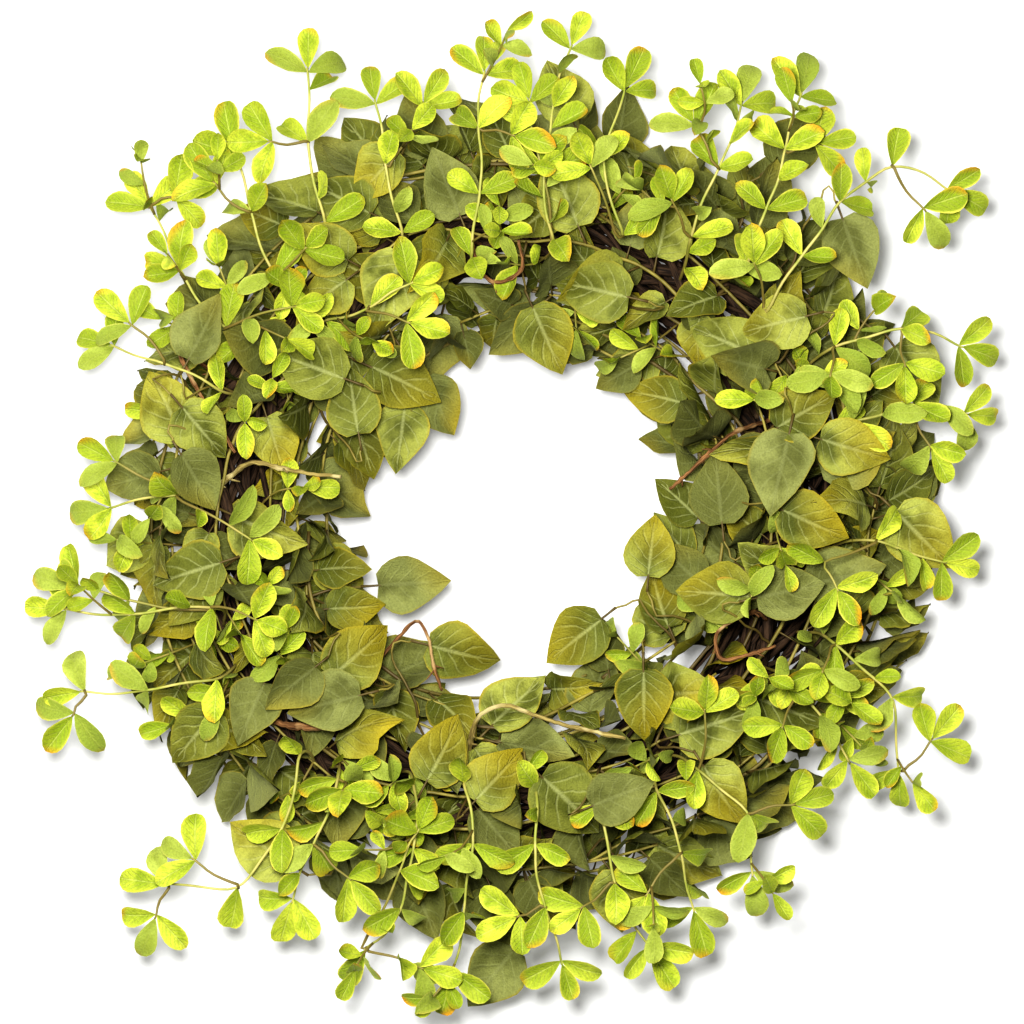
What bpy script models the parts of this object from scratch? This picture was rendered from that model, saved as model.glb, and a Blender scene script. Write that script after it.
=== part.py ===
"""Mixed foliage twig wreath, lying on its back with its front up.

A ring of wound canes carries loose twigs and two kinds of leafy sprig: olive broad-leaf sprays close
to the ring, and lime sprigs of small leaves over and outside them. The layout is in millimetres. The
origin is under the middle of the outline, +Y points to the wreath's top and +Z out of its front.
"""

import math
import random

import bmesh
import bpy
from mathutils import Matrix, Vector
from mathutils.bvhtree import BVHTree

MM = 0.001
SEED = 24

# The ring of canes
RING_CENTRE = Vector((3.0, -1.0, 0.0))
RING_RADIUS = 172.0
RING_HEIGHT = 26.2
CANE_RADIUS = 3.6
OUTER_LAYER = 24.0
INNER_LAYER = 15.6
OUTER_CANES = 4
INNER_CANES = 2
CANE_WINDS = 3
CANE_SIDES = 5
CANE_STEPS = 26

# Stems are square, with a pair of rings at each node, where a leaf or an arm grows out of a side
SEAT_GAP = 0.35
CLEARANCE = 0.4
STEM_SIDES = 4
NODE_HALF_LENGTH = 0.9
BROAD_NODE_STEP = 38.0
LIME_NODE_STEP = 43.0
STALK_STEP = 22.0
TIP_NODE = 2.6
BROAD_STEM_RADIUS = 1.5
LIME_STEM_RADIUS = 1.3
STALK_RADIUS = 1.1
TIP_TAPER = 0.75

# Leaves: whole length with the petiole, half the width, the petiole's share of the length
BROAD_LENGTH = 56.0
BROAD_HALF_WIDTH = 17.5
BROAD_PETIOLE = 0.18
LIME_LENGTH = 27.0
LIME_HALF_WIDTH = 6.6
LIME_PETIOLE = 0.0
ROOT_HALF_WIDTH = 0.9
BLADE_THICKNESS = 0.75

# Broad-leaf sprays lie in three lanes round the ring: how many, the angle round the bundle where 0 is
# the outside and 90 the front, the distance from the bundle's centre line, the arc and the leaf spacing
BROAD_LANES = (
    {"count": 6, "turn": 146.0, "away": 42.0, "arc": 62.0, "first": 20.0, "lift": 0.6},
    {"count": 4, "turn": 92.0, "away": 42.0, "arc": 74.0, "first": 48.0, "lift": 0.1},
    {"count": 6, "turn": 32.0, "away": 44.0, "arc": 58.0, "first": 4.0, "lift": 0.5},
)

# Broad leaves that stand at the front: the blade's middle, its heading in degrees and its size
FRONT_LEAVES = (
    (-122, 88, 163, 1.06), (-70, 71, -40, 1.04), (-95, 69, 100, 0.92), (-208, 67, 118, 1.05),
    (-188, 41, -48, 0.92), (-187, 20, -60, 0.88), (-178, 111, 55, 0.95), (-102, 192, 150, 0.95),
    (-78, 200, 235, 0.9), (-42, 66, -60, 0.88), (-58, 47, -80, 0.9), (47, 134, 170, 1.06),
    (22, 105, -65, 1.0), (174, 225, 40, 0.96), (206, 158, -70, 0.98), (245, 84, -50, 1.04),
    (157, 111, 200, 0.95), (176, 62, 30, 0.92), (153, 23, -110, 1.14), (127, 17, 90, 0.98),
    (206, 43, -10, 0.98), (249, -14, -42, 1.12), (-194, -33, 195, 0.98), (-90, -82, 40, 1.04),
    (-111, -116, 200, 1.02), (-132, -99, 215, 0.86), (-42, -139, 65, 0.98), (-28, -82, -12, 1.0),
    (-59, -40, 5, 0.96), (-150, -196, 145, 1.04), (-13, -278, 230, 1.0), (-13, -151, 60, 0.95),
    (25, -182, -65, 1.16), (67, -167, 15, 0.9), (76, -114, -95, 0.98), (36, -74, 215, 0.98),
    (126, -168, -58, 0.98), (120, -49, 180, 1.04), (167, -49, 5, 0.94), (180, -6, -25, 0.98),
    (87, -18, 80, 0.86), (-193, -131, 225, 0.95), (30, 257, 110, 0.96), (66, -233, -80, 0.94),
)

# Lime sprigs: the first arm starts at the canes, and each other arm near a point of the first. An
# arm's last point is where its last leaf ends
LIME_SPRIGS = (
    (((-109, 175, 84), (-127, 229, 82), (-116, 258, 76), (-124, 286, 70)),
     (1, (-142, 219, 92), (-154, 234, 84))),
    (((-67, 165, 90), (-76, 215, 92), (-80, 243, 86), (-73, 272, 76)),
     (1, (-58, 240, 98), (-38, 262, 90))),
    (((-25, 155, 92), (-19, 205, 102), (-20, 249, 92), (-17, 291, 76)),
     (0, (-22, 182, 112), (-3, 193, 120), (6, 172, 122)),
     (1, (-4, 222, 108), (17, 236, 104))),
    (((25, 165, 90), (20, 215, 96), (30, 262, 84), (44, 302, 68)),
     (1, (12, 240, 100), (7, 270, 88))),
    (((65, 165, 90), (58, 215, 98), (66, 248, 88), (78, 263, 78)),
     (0, (56, 185, 112), (53, 206, 118), (32, 216, 118))),
    (((105, 160, 90), (122, 205, 96), (135, 240, 88), (147, 267, 76)),
     (1, (108, 228, 102), (108, 252, 92)),
     (0, (100, 186, 110), (84, 195, 114))),
    (((140, 150, 88), (160, 205, 92), (172, 245, 82), (175, 269, 72)),
     (1, (178, 220, 92), (198, 229, 80))),
    (((155, 125, 88), (190, 180, 90), (222, 208, 82), (250, 201, 74), (284, 185, 66)),
     (2, (243, 188, 80), (260, 168, 70)),
     (0, (146, 152, 110), (141, 148, 118))),
    (((190, 100, 82), (225, 112, 84), (258, 102, 76), (290, 96, 66)),
     (1, (233, 94, 94), (240, 76, 92)),
     (0, (183, 82, 106), (206, 84, 110))),
    (((200, 55, 84), (240, 66, 84), (268, 66, 76), (286, 50, 64)),
     (1, (247, 46, 84), (262, 24, 72)),
     (0, (186, 42, 106), (184, 30, 112))),
    (((198, -20, 82), (235, -12, 82), (255, -26, 74), (275, -34, 64)),
     (0, (180, -32, 104), (190, -44, 110), (206, -48, 104))),
    (((190, -75, 84), (224, -100, 82), (233, -140, 74), (230, -177, 62)),
     (2, (247, -134, 74), (266, -132, 64)),
     (0, (180, -92, 106), (197, -98, 106))),
    (((160, -92, 88), (186, -122, 90), (200, -142, 82), (210, -160, 68)),
     (0, (150, -108, 108), (156, -126, 114), (172, -128, 112))),
    (((115, -150, 88), (145, -180, 92), (147, -208, 84), (136, -226, 72)),
     (1, (164, -176, 98), (182, -164, 88)),
     (0, (112, -128, 110), (120, -120, 116), (104, -104, 114))),
    (((85, -160, 88), (100, -198, 92), (110, -230, 82), (108, -255, 68)),
     (1, (84, -222, 98), (70, -240, 86))),
    (((55, -165, 90), (60, -205, 96), (78, -245, 84), (88, -280, 66)),
     (1, (44, -230, 100), (34, -246, 92))),
    (((15, -165, 92), (14, -205, 104), (24, -250, 90), (36, -287, 68)),
     (1, (0, -232, 102), (9, -258, 92))),
    (((-30, -160, 92), (-25, -205, 102), (-35, -250, 86), (-34, -298, 64)),
     (1, (-12, -222, 112), (-20, -236, 112)),
     (0, (-30, -182, 114), (-34, -168, 118))),
    (((-60, -160, 90), (-60, -210, 94), (-72, -250, 82), (-106, -276, 64)),
     (2, (-56, -266, 82), (-44, -284, 70)),
     (0, (-52, -182, 112), (-62, -196, 114))),
    (((-100, -150, 86), (-116, -195, 88), (-126, -225, 78), (-138, -250, 66)),
     (1, (-98, -212, 98), (-90, -232, 90)),
     (0, (-96, -166, 108), (-112, -160, 114))),
    (((-125, -140, 88), (-140, -196, 86), (-168, -222, 80), (-200, -221, 72), (-229, -210, 64)),
     (3, (-212, -238, 74), (-218, -250, 66)),
     (2, (-186, -208, 84), (-204, -198, 76))),
    (((-165, -95, 86), (-205, -104, 84), (-245, -106, 74), (-281, -104, 64)),
     (2, (-258, -120, 78), (-276, -122, 68))),
    (((-165, -55, 86), (-212, -54, 86), (-252, -60, 76), (-290, -54, 64)),
     (2, (-262, -46, 78), (-266, -34, 70)),
     (0, (-172, -76, 108), (-168, -98, 112)),
     (0, (-154, -66, 110), (-144, -54, 114))),
    (((-185, 15, 86), (-215, 8, 86), (-238, 4, 76), (-252, 6, 66)),
     (1, (-232, 28, 88), (-253, 44, 74)),
     (0, (-166, 2, 108), (-152, -10, 116), (-158, -26, 114)),
     (0, (-160, 18, 110), (-142, 14, 114))),
    (((-175, 75, 86), (-210, 92, 86), (-235, 104, 76), (-253, 98, 64)),
     (1, (-224, 112, 90), (-240, 124, 80))),
    (((-170, 110, 88), (-198, 150, 86), (-212, 180, 78), (-230, 203, 64)),
     (2, (-202, 190, 84), (-190, 194, 80)),
     (0, (-150, 126, 108), (-130, 128, 114), (-124, 118, 114))),
    (((-140, 145, 88), (-158, 192, 90), (-166, 212, 84), (-170, 232, 72)),
     (1, (-176, 196, 94), (-184, 208, 86)),
     (0, (-128, 158, 110), (-108, 164, 112))),
    (((-105, 115, 90), (-84, 128, 106), (-62, 140, 116), (-41, 146, 116)),
     (1, (-66, 118, 118), (-46, 106, 118))),
)

# Loose twigs: name, radius and the points it runs through
LOOSE_TWIGS = (
    ("twig_thick_lower_left", 2.9, ((-170, -113, 66), (-140, -121, 73), (-106, -131, 78))),
    ("twig_pale_below_hole", 1.9, ((-22, -126, 80), (-8, -113, 92), (28, -124, 97), (68, -133, 96))),
    ("twig_loop_top", 1.6, ((-24, 166, 74), (-20, 148, 84), (-6, 138, 90), (6, 148, 92), (6, 166, 90))),
    ("twig_inner_right", 1.7, ((132, 49, 72), (112, 32, 74), (95, 16, 66))),
    ("twig_loop_right", 1.6, ((142, -58, 78), (122, -72, 88), (127, -86, 92), (158, -78, 90))),
    ("twig_fork_left", 1.9, ((-153, 28, 78), (-130, 28, 90), (-104, 27, 92))),
    ("twig_thin_left", 1.7, ((-200, 100, 60), (-184, 72, 74), (-166, 38, 78))),
    ("twig_inner_left", 1.4, ((-58, -62, 66), (-49, -84, 70), (-42, -104, 66))),
)

COLOURS = {
    "outer cane": (0.235, 0.118, 0.062),
    "inner cane": (0.130, 0.066, 0.038),
    "twig": (0.340, 0.180, 0.105),
    "broad leaf": (0.150, 0.185, 0.030),
    "lime leaf": (0.395, 0.560, 0.045),
}


def clear_scene():
    """Remove every object that the startup file brought."""
    for scene_object in list(bpy.data.objects):
        bpy.data.objects.remove(scene_object)


def material(name, colour, roughness):
    """A plain Principled material of one colour."""
    made = bpy.data.materials.new(name)
    made.use_nodes = True
    shader = made.node_tree.nodes["Principled BSDF"]
    shader.inputs["Base Color"].default_value = (*colour, 1.0)
    shader.inputs["Roughness"].default_value = roughness
    shader.inputs["Metallic"].default_value = 0.0
    made.diffuse_color = (*colour, 1.0)
    return made


# Shapes


def on_bundle(around, turn, away):
    """The point at an angle round the ring, an angle round the bundle and a distance from its middle."""
    radial = Vector((math.cos(around), math.sin(around), 0.0))
    outward = radial * math.cos(turn) + Vector((0.0, 0.0, math.sin(turn)))
    sway = 4.0 * math.sin(2.0 * around + 0.5) + 2.5 * math.sin(3.0 * around + 2.2)
    middle = RING_CENTRE + radial * (RING_RADIUS + sway) + Vector((0.0, 0.0, RING_HEIGHT))
    return middle + outward * away, outward


def bundle_angles(point):
    """The angle round the ring and the angle round the bundle of a point."""
    offset = point - RING_CENTRE
    around = math.atan2(offset.y, offset.x)
    middle, _ = on_bundle(around, 0.0, 0.0)
    sideways = math.hypot(offset.x, offset.y) - (middle - RING_CENTRE).to_2d().length
    return around, math.atan2(point.z - RING_HEIGHT, sideways)


def smooth(points, spacing):
    """Evenly spaced points on a curve that runs smoothly through the given ones."""
    ends = [points[0] * 2.0 - points[1], *points, points[-1] * 2.0 - points[-2]]
    dense = []
    for a, b, c, d in zip(ends, ends[1:], ends[2:], ends[3:]):
        for k in range(12):
            t = k / 12.0
            bend = a * (-t + 2.0 * t**2 - t**3) + b * (2.0 - 5.0 * t**2 + 3.0 * t**3)
            bend += c * (t + 4.0 * t**2 - 3.0 * t**3) + d * (t**3 - t**2)
            dense.append(bend * 0.5)
    dense.append(points[-1].copy())
    lengths = [(q - p).length for p, q in zip(dense, dense[1:])]
    count = max(1, round(sum(lengths) / spacing))
    step = sum(lengths) / count
    even = [dense[0]]
    walked = 0.0
    for p, q, length in zip(dense, dense[1:], lengths):
        while len(even) < count and walked + length >= step * len(even):
            even.append(p.lerp(q, (step * len(even) - walked) / length))
        walked += length
    even.append(dense[-1])
    return even


def circle(body, count, filled):
    """Add a circle. It returns the corners in their order round it."""
    corners = bmesh.ops.create_circle(body, cap_ends=filled, segments=count, radius=1.0)["verts"]
    return sorted(corners, key=lambda corner: math.atan2(corner.co.y, corner.co.x))


def sweep(tube, middles, radii, sides, firsts, closed=False, capped=True):
    """Add a tube by extruding a ring of edges from middle to middle. It returns the rings' corners.

    firsts holds the direction of each ring's first corner.
    """
    ring = circle(tube, sides, capped and not closed)
    rings = []
    count = len(middles)
    for step in range(count + 1 if closed else count):
        index = step % count
        before = middles[index - 1] if closed or index > 0 else middles[0]
        after = middles[(index + 1) % count] if closed or index < count - 1 else middles[-1]
        along = (after - before).normalized()
        across = (firsts[index] - along * firsts[index].dot(along)).normalized()
        upward = along.cross(across)
        if step > 0:
            edges = [tube.edges.get((ring[k], ring[k - 1])) for k in range(sides)]
            grown = bmesh.ops.extrude_edge_only(tube, edges=edges)["geom"]
            fresh = [item for item in grown if isinstance(item, bmesh.types.BMVert)]
            ring = [min(fresh, key=lambda vert, old=old: (vert.co - old.co).length) for old in ring]
        for k, vert in enumerate(ring):
            angle = 2.0 * math.pi * k / sides
            spoke = across * math.cos(angle) + upward * math.sin(angle)
            vert.co = middles[index] + spoke * radii[index]
        rings.append(ring)
    if closed:
        bmesh.ops.remove_doubles(tube, verts=rings[0] + rings[-1], dist=0.001)
    else:
        last_edges = [tube.edges.get((ring[k], ring[k - 1])) for k in range(sides)]
        bmesh.ops.contextual_create(tube, geom=last_edges)
    return rings


def shape_lists(shape):
    """The corners and faces of a bmesh as plain lists, with the faces split into triangles."""
    bmesh.ops.triangulate(shape, faces=shape.faces[:])
    shape.verts.index_update()
    corners = [vert.co.copy() for vert in shape.verts]
    # An extrusion's faces come in no fixed order, and find_nearest settles a tie between two by their order.
    faces = sorted(([vert.index for vert in face.verts] for face in shape.faces), reverse=True)
    return corners, faces


# Leaves


def broad_profile(share):
    """Half the width of a broad leaf, of 1 at its widest, from the blade's foot at 0 to its tip at 1."""
    return math.sin(math.pi * min(share, 1.0) ** 0.62) ** 0.8


def lime_profile(share):
    """The same for a lime leaf, which is widest past its middle and has a round tip."""
    return math.sin(math.pi * min(share, 1.0) ** 1.15) ** 0.72


BROAD_STOPS = (0.0, 0.28, 0.7)
LIME_STOPS = (0.42, 0.83)


def leaf_form(kind, along, across, fold, curl, wave):
    """The height of a blade over its flat outline: folded at the midrib, curled along it and waved."""
    length = BROAD_LENGTH if kind == "broad" else LIME_LENGTH
    share = along / length
    lift = abs(across) * fold - curl * length * share**2
    return lift + wave * math.sin(9.0 * share + (2.0 if across > 0.0 else 0.0)) * abs(across) / 10.0


def leaf_side(kind, grow):
    """The corners along one side of a leaf between its root and its tip, on the flat."""
    if kind == "broad":
        length, half, petiole = BROAD_LENGTH, BROAD_HALF_WIDTH, BROAD_PETIOLE
        stops, profile = BROAD_STOPS, broad_profile
    else:
        length, half, petiole = LIME_LENGTH, LIME_HALF_WIDTH, LIME_PETIOLE
        stops, profile = LIME_STOPS, lime_profile
    shares = [petiole + (1.0 - petiole) * stop for stop in stops]
    widths = [max(half * profile(stop), ROOT_HALF_WIDTH) + grow for stop in stops]
    return [(share * length, width) for share, width in zip(shares, widths)], length + grow


def leaf_blade(body, kind, bend, grow=0.0, start=0.0, place=None):
    """Add a leaf as a thin blade: a disc drawn out to the outline, creased, bent and thickened.

    bend holds its fold, curl and wave. With a place, the leaf is moved there with its root left open,
    and the root's corners are returned.
    """
    side, tip_along = leaf_side(kind, grow)
    outline = [(start, ROOT_HALF_WIDTH + grow), *side, (tip_along, 0.0)]
    outline += [(along, -across) for along, across in reversed(side)]
    outline.append((start, -ROOT_HALF_WIDTH - grow))
    corners = circle(body, len(outline), True)
    for corner, (along, across) in zip(corners, outline):
        corner.co = (along, across, 0.0)
    tip = corners[len(outline) // 2]
    bmesh.ops.connect_verts(body, verts=[corners[0], tip])
    bmesh.ops.connect_verts(body, verts=[corners[-1], tip])
    bmesh.ops.triangulate(body, faces=faces_round(corners))
    # The root is as thick as the stem's node that it grows from.
    halves = {corner: BLADE_THICKNESS / 2.0 + grow for corner in corners}
    halves[corners[0]] = halves[corners[-1]] = NODE_HALF_LENGTH + grow
    for corner in corners:
        corner.co.z = leaf_form(kind, corner.co.x, corner.co.y, *bend) - halves[corner]
    grown = bmesh.ops.extrude_face_region(body, geom=faces_round(corners))["geom"]
    upper = [item for item in grown if isinstance(item, bmesh.types.BMVert)]
    root = [corners[0], corners[-1]]
    root += [min(upper, key=lambda vert, low=low: (vert.co - low.co).length) for low in reversed(root)]
    for vert in upper:
        vert.co.z += 2.0 * halves[min(corners, key=lambda low, vert=vert: (vert.co - low.co).length)]
    if place:
        body.faces.remove(body.faces.get(root))
        bmesh.ops.transform(body, matrix=place, verts=[*corners, *upper])
    return root


def faces_round(corners):
    """The faces that touch any of some corners, each once."""
    return list(dict.fromkeys(face for corner in corners for face in corner.link_faces))


class LeafPattern:
    """One form of leaf, with the shapes that its clearance is tested with."""

    def __init__(self, kind, bend):
        self.kind = kind
        self.bend = bend
        self.grown = self.test_shape(grow=CLEARANCE)
        self.rootless = self.test_shape(start=1.2)

    def test_shape(self, **changes):
        blade = bmesh.new()
        leaf_blade(blade, self.kind, self.bend, **changes)
        return shape_lists(blade)


def leaf_patterns():
    """The few forms that all leaves share."""
    broad = ((0.24, 0.10, 0.9), (0.34, 0.02, -0.8), (0.14, 0.16, 1.3), (0.28, -0.07, 1.0), (0.40, 0.08, 0.6))
    lime = ((0.22, 0.10, 0.0), (0.40, -0.06, 0.3), (0.12, 0.20, 0.4), (0.32, 0.04, -0.4))
    return {
        "broad": [LeafPattern("broad", bend) for bend in broad],
        "lime": [LeafPattern("lime", bend) for bend in lime],
    }


# Stems


class Stem:
    """A stem along a row of points, with the nodes and sides where leaves and arms can grow."""

    def __init__(self, points, radius, upward, first_node, lean=0.0, sides=STEM_SIDES):
        self.points = points
        self.radius = radius
        self.first_node = first_node
        self.sides = sides
        self.taken = set()
        side = upward.cross(self.direction(len(points) - 1)).normalized()
        side = Matrix.Rotation(lean, 3, self.direction(len(points) - 1)) @ side
        self.side_directions = []
        for index in reversed(range(len(points))):
            along = self.direction(index)
            side = (side - along * side.dot(along)).normalized()
            self.side_directions.insert(0, side)

    def direction(self, index):
        before = self.points[max(index - 1, 0)]
        after = self.points[min(index + 1, len(self.points) - 1)]
        return (after - before).normalized()

    def nodes(self):
        return range(self.first_node, len(self.points) - 1)

    def width(self, index):
        """The distance from the middle to the corners at a point."""
        return self.radius * (1.0 + (TIP_TAPER - 1.0) * index / (len(self.points) - 1))

    def outward(self, index, side):
        """The way that a side faces at a node."""
        turn = Matrix.Rotation(side * math.pi / 2.0, 3, self.direction(index))
        return turn @ self.side_directions[index]

    def side_middle(self, index, side):
        reach = self.width(index) * math.cos(math.pi / self.sides)
        return self.points[index] + self.outward(index, side) * reach

    def tube(self, body, grow=0.0, skip=0.0, capped=True, bearing=None):
        """Add the stem to a mesh. It returns the rings of corners and the number of each point's first.

        A node has two rings, with a face for each side between them. bearing limits that to some nodes.
        """
        doubled = self.nodes() if bearing is None else bearing
        middles, radii, firsts, numbers = [], [], [], []
        for index, point in enumerate(self.points):
            along = self.direction(index)
            side = self.side_directions[index]
            offsets = (-NODE_HALF_LENGTH, NODE_HALF_LENGTH) if index in doubled else (0.0,)
            if index == 0:
                offsets = (skip,)
            if index == len(self.points) - 2 and index in self.nodes() and index not in doubled:
                offsets = ()
            numbers.append(len(middles))
            for offset in offsets:
                middles.append(point + along * offset)
                radii.append(self.width(index) + grow)
                firsts.append(side - along.cross(side))
        return sweep(body, middles, radii, self.sides, firsts, capped=capped), numbers

    def test_shape(self, **changes):
        body = bmesh.new()
        self.tube(body, **changes)
        return shape_lists(body)


def with_tip_node(points):
    """The points with one more just before the end, for the last leaves."""
    along = (points[-1] - points[-2]).normalized()
    return [*points[:-1], points[-1] - along * TIP_NODE, points[-1]]


# Clearances


class Room:
    """Every piece placed so far, with what a new piece must stay clear of."""

    def __init__(self):
        self.pieces = []

    @staticmethod
    def bounds(corners):
        low = [min(corner[axis] for corner in corners) for axis in range(3)]
        high = [max(corner[axis] for corner in corners) for axis in range(3)]
        return low, high

    def add(self, owner, shape):
        """Keep a piece, given by its corners and faces."""
        self.pieces.append((owner, *self.bounds(shape[0]), BVHTree.FromPolygons(*shape)))

    def is_free(self, owner, grown, rootless=None):
        """Whether a grown shape clears the others' pieces, and its rootless shape its owner's."""
        low, high = self.bounds(grown[0])
        grown_tree = BVHTree.FromPolygons(*grown)
        own_tree = BVHTree.FromPolygons(*rootless) if rootless else None
        for other, other_low, other_high, tree in self.pieces:
            if any(low[k] > other_high[k] or high[k] < other_low[k] for k in range(3)):
                continue
            if other != owner:
                if grown_tree.overlap(tree):
                    return False
            elif own_tree and own_tree.overlap(tree):
                return False
        return True


class Spray:
    """A leafy spray: its stems, the first of which stands on the canes, and its leaves."""

    def __init__(self, name, kind, lift=0.0):
        self.name = name
        self.kind = kind
        self.lift = lift
        self.stems = []
        self.arms = []
        self.leaves = []

    def stem_is_free(self, room, stem, from_canes=0.0, from_own=0.0):
        """Whether a stem clears the rest, but for the first of its length by what it grows from."""
        grown = stem.test_shape(grow=CLEARANCE, skip=from_canes)
        return room.is_free(self.name, grown, stem.test_shape(skip=from_own))

    def add_stem(self, room, stem, parent=None):
        self.stems.append(stem)
        self.arms.append(parent)
        room.add(self.name, stem.test_shape())


def seat_on_canes(canes, around, turn):
    """The point where a line towards the bundle's middle meets a cane square on, and the way out."""
    start, outward = on_bundle(around, turn, 60.0)
    place, normal, _, distance = canes.ray_cast(start, -outward)
    if place is None or distance > 48.0 or normal.dot(outward) < 0.84:
        return None
    return place + normal * SEAT_GAP, normal


def stands_clear(canes, stem):
    """Whether each corner of the stem's root is a little above the canes."""
    body = bmesh.new()
    rings, _ = stem.tube(body)
    for corner in rings[0]:
        place, normal, _, _ = canes.find_nearest(corner.co)
        if (corner.co - place).dot(normal) < 0.2:
            return False
    return True


def nudged(point, reach, chance):
    """A point moved a little in any direction, and more upwards than down."""
    shift = Vector((chance.uniform(-1, 1), chance.uniform(-1, 1), chance.uniform(-0.5, 1)))
    return point + shift * reach


def grow_main_stem(room, canes, spray, route, radius, step, chance, first=34.0, lean=0.0):
    """Seat a stem on the canes under the route's start and run it along the route, clear of the rest."""
    around, turn = bundle_angles(route[0])
    for attempt in range(320):
        reach = attempt / 320.0
        seat = seat_on_canes(
            canes, around + chance.uniform(-0.2, 0.2) * reach, turn + chance.uniform(-0.9, 0.9) * reach)
        if seat is None:
            continue
        root, normal = seat
        lifted = root + normal * 6.0
        bend = [nudged(point, 9.0 * reach, chance) for point in route]
        if (bend[0] - lifted).length < 14.0:
            bend[0] = lifted + (bend[0] - lifted).normalized() * 14.0
        points = [root, *smooth([lifted, *bend], step)]
        if spray.kind == "twig":
            first_node = len(points)
            sides = STEM_SIDES
        else:
            points = with_tip_node(points)
            first_node = next(k for k, point in enumerate(points) if (point - root).length > first)
            sides = STEM_SIDES
        upward = Vector((0.0, 0.0, 1.0))
        if spray.kind == "broad":
            tip_around, tip_turn = bundle_angles(points[-1])
            upward = on_bundle(tip_around, tip_turn, 1.0)[1]
        stem = Stem(points, radius, upward, first_node, lean, sides)
        if stands_clear(canes, stem) and spray.stem_is_free(room, stem, from_canes=0.6):
            spray.add_stem(room, stem)
            return True
    return False


def grow_arm(room, spray, parent, node, side, route, radius, step, chance, lean=0.0):
    """Run a side stem out of a side of another stem's node, clear of everything."""
    root = parent.side_middle(node, side)
    outward = parent.outward(node, side)
    for attempt in range(60):
        reach = 10.0 * attempt / 60.0
        bend = [nudged(point, reach, chance) for point in route[:-1]]
        bend.append(nudged(route[-1], 0.4 * reach, chance))
        lifted = root + (outward + (bend[0] - root).normalized() * 0.8).normalized() * 4.5
        points = with_tip_node([root, *smooth([lifted, *bend], step)])
        stem = Stem(points, radius, Vector((0.0, 0.0, 1.0)), 2, lean)
        if spray.stem_is_free(room, stem, from_own=1.5):
            parent.taken.add((node, side))
            spray.add_stem(room, stem, (parent, node, side))
            return stem
    return None


def best_side(stem, point):
    """The node and the side of a stem that face a point best from nearby."""
    choices = []
    for node in stem.nodes():
        for side in range(4):
            if (node, side) in stem.taken or (node, (side + 1) % 4) in stem.taken:
                continue
            if (node, (side + 3) % 4) in stem.taken:
                continue
            way = point - stem.side_middle(node, side)
            facing = stem.outward(node, side).dot(way.normalized())
            if facing > 0.3:
                choices.append((way.length * (1.6 - facing), node, side))
    return min(choices) if choices else None


def leaf_place(root, heading, face, size):
    """The matrix of a leaf whose root, growing direction, upper side and size are given."""
    across = face.cross(heading).normalized()
    upper = heading.cross(across).normalized()
    turned = Matrix((heading, across, upper)).transposed().to_4x4()
    return Matrix.Translation(root) @ turned @ Matrix.Scale(size, 4)


def try_leaf(room, spray, patterns, stem, node, side, heading, face, size, chance, tries=14, loose=0.5):
    """Place one leaf where it clears everything, turning it a little more at each try.

    Side 4 of the last node is the stem's end.
    """
    if (node, side) in stem.taken:
        return False
    if side == 4:
        root = stem.points[-1]
        outward = stem.direction(len(stem.points) - 1)
    else:
        root = stem.side_middle(node, side)
        outward = stem.outward(node, side)
    for attempt in range(tries):
        reach = loose * attempt / tries
        pattern = chance.choice(patterns[spray.kind])
        turn = Vector([chance.uniform(-1, 1) for _ in range(3)]) * (0.12 + reach)
        tilt = Vector([chance.uniform(-1, 1) for _ in range(3)]) * (0.15 + reach)
        growing = (heading + turn).normalized()
        if growing.dot(outward) < 0.5:
            growing = (growing + outward * 0.6).normalized()
        if growing.dot(outward) < 0.45:
            continue
        place = leaf_place(root, growing, (face + tilt).normalized(), size)
        grown = ([place @ corner for corner in pattern.grown[0]], pattern.grown[1])
        if min(corner.z for corner in grown[0]) < 1.0:
            continue
        rootless = ([place @ corner for corner in pattern.rootless[0]], pattern.rootless[1])
        if room.is_free(spray.name, grown, rootless):
            stem.taken.add((node, side))
            spray.leaves.append((stem, node, side, pattern, place))
            room.add(spray.name, rootless)
            return True
    return False


# The wreath


def cane_shapes():
    """The canes: an outer layer wound one way round the ring and an inner layer wound the other way."""
    shapes = {}
    layers = (("outer", OUTER_LAYER, OUTER_CANES, 1.0), ("inner", INNER_LAYER, INNER_CANES, -1.0))
    for layer, away, count, hand in layers:
        for cane in range(count):
            points = []
            outwards = []
            for step in range(CANE_STEPS):
                around = 2.0 * math.pi * step / CANE_STEPS
                turn = hand * CANE_WINDS * around + 2.0 * math.pi * cane / count
                swell = 1.6 * math.sin(2.0 * around + 1.0) * (0.5 + 0.5 * math.sin(turn))
                place, outward = on_bundle(around, turn, away + swell)
                points.append(place)
                outwards.append(outward)
            tube = bmesh.new()
            sweep(tube, points, [CANE_RADIUS] * CANE_STEPS, CANE_SIDES, outwards, closed=True)
            # The lowest bends are cut flat where they lie on the surface.
            bmesh.ops.bisect_plane(
                tube, geom=[*tube.verts, *tube.edges, *tube.faces], plane_co=(0, 0, 0), plane_no=(0, 0, 1),
                clear_inner=True)
            open_edges = [edge for edge in tube.edges if edge.is_boundary]
            if open_edges:
                bmesh.ops.holes_fill(tube, edges=open_edges)
            bmesh.ops.recalc_face_normals(tube, faces=tube.faces[:])
            shapes[f"cane_{layer}_{cane + 1}"] = tube
    return shapes


def grow_twigs(room, canes, chance):
    """The loose twigs, each seated on a cane at its start."""
    twigs = []
    for name, radius, route in LOOSE_TWIGS:
        twig = Spray(name, "twig")
        points = [Vector(point) for point in route]
        if not grow_main_stem(room, canes, twig, points, radius, 18.0, chance):
            print("no room for", name)
        twigs.append(twig)
    return twigs


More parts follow.
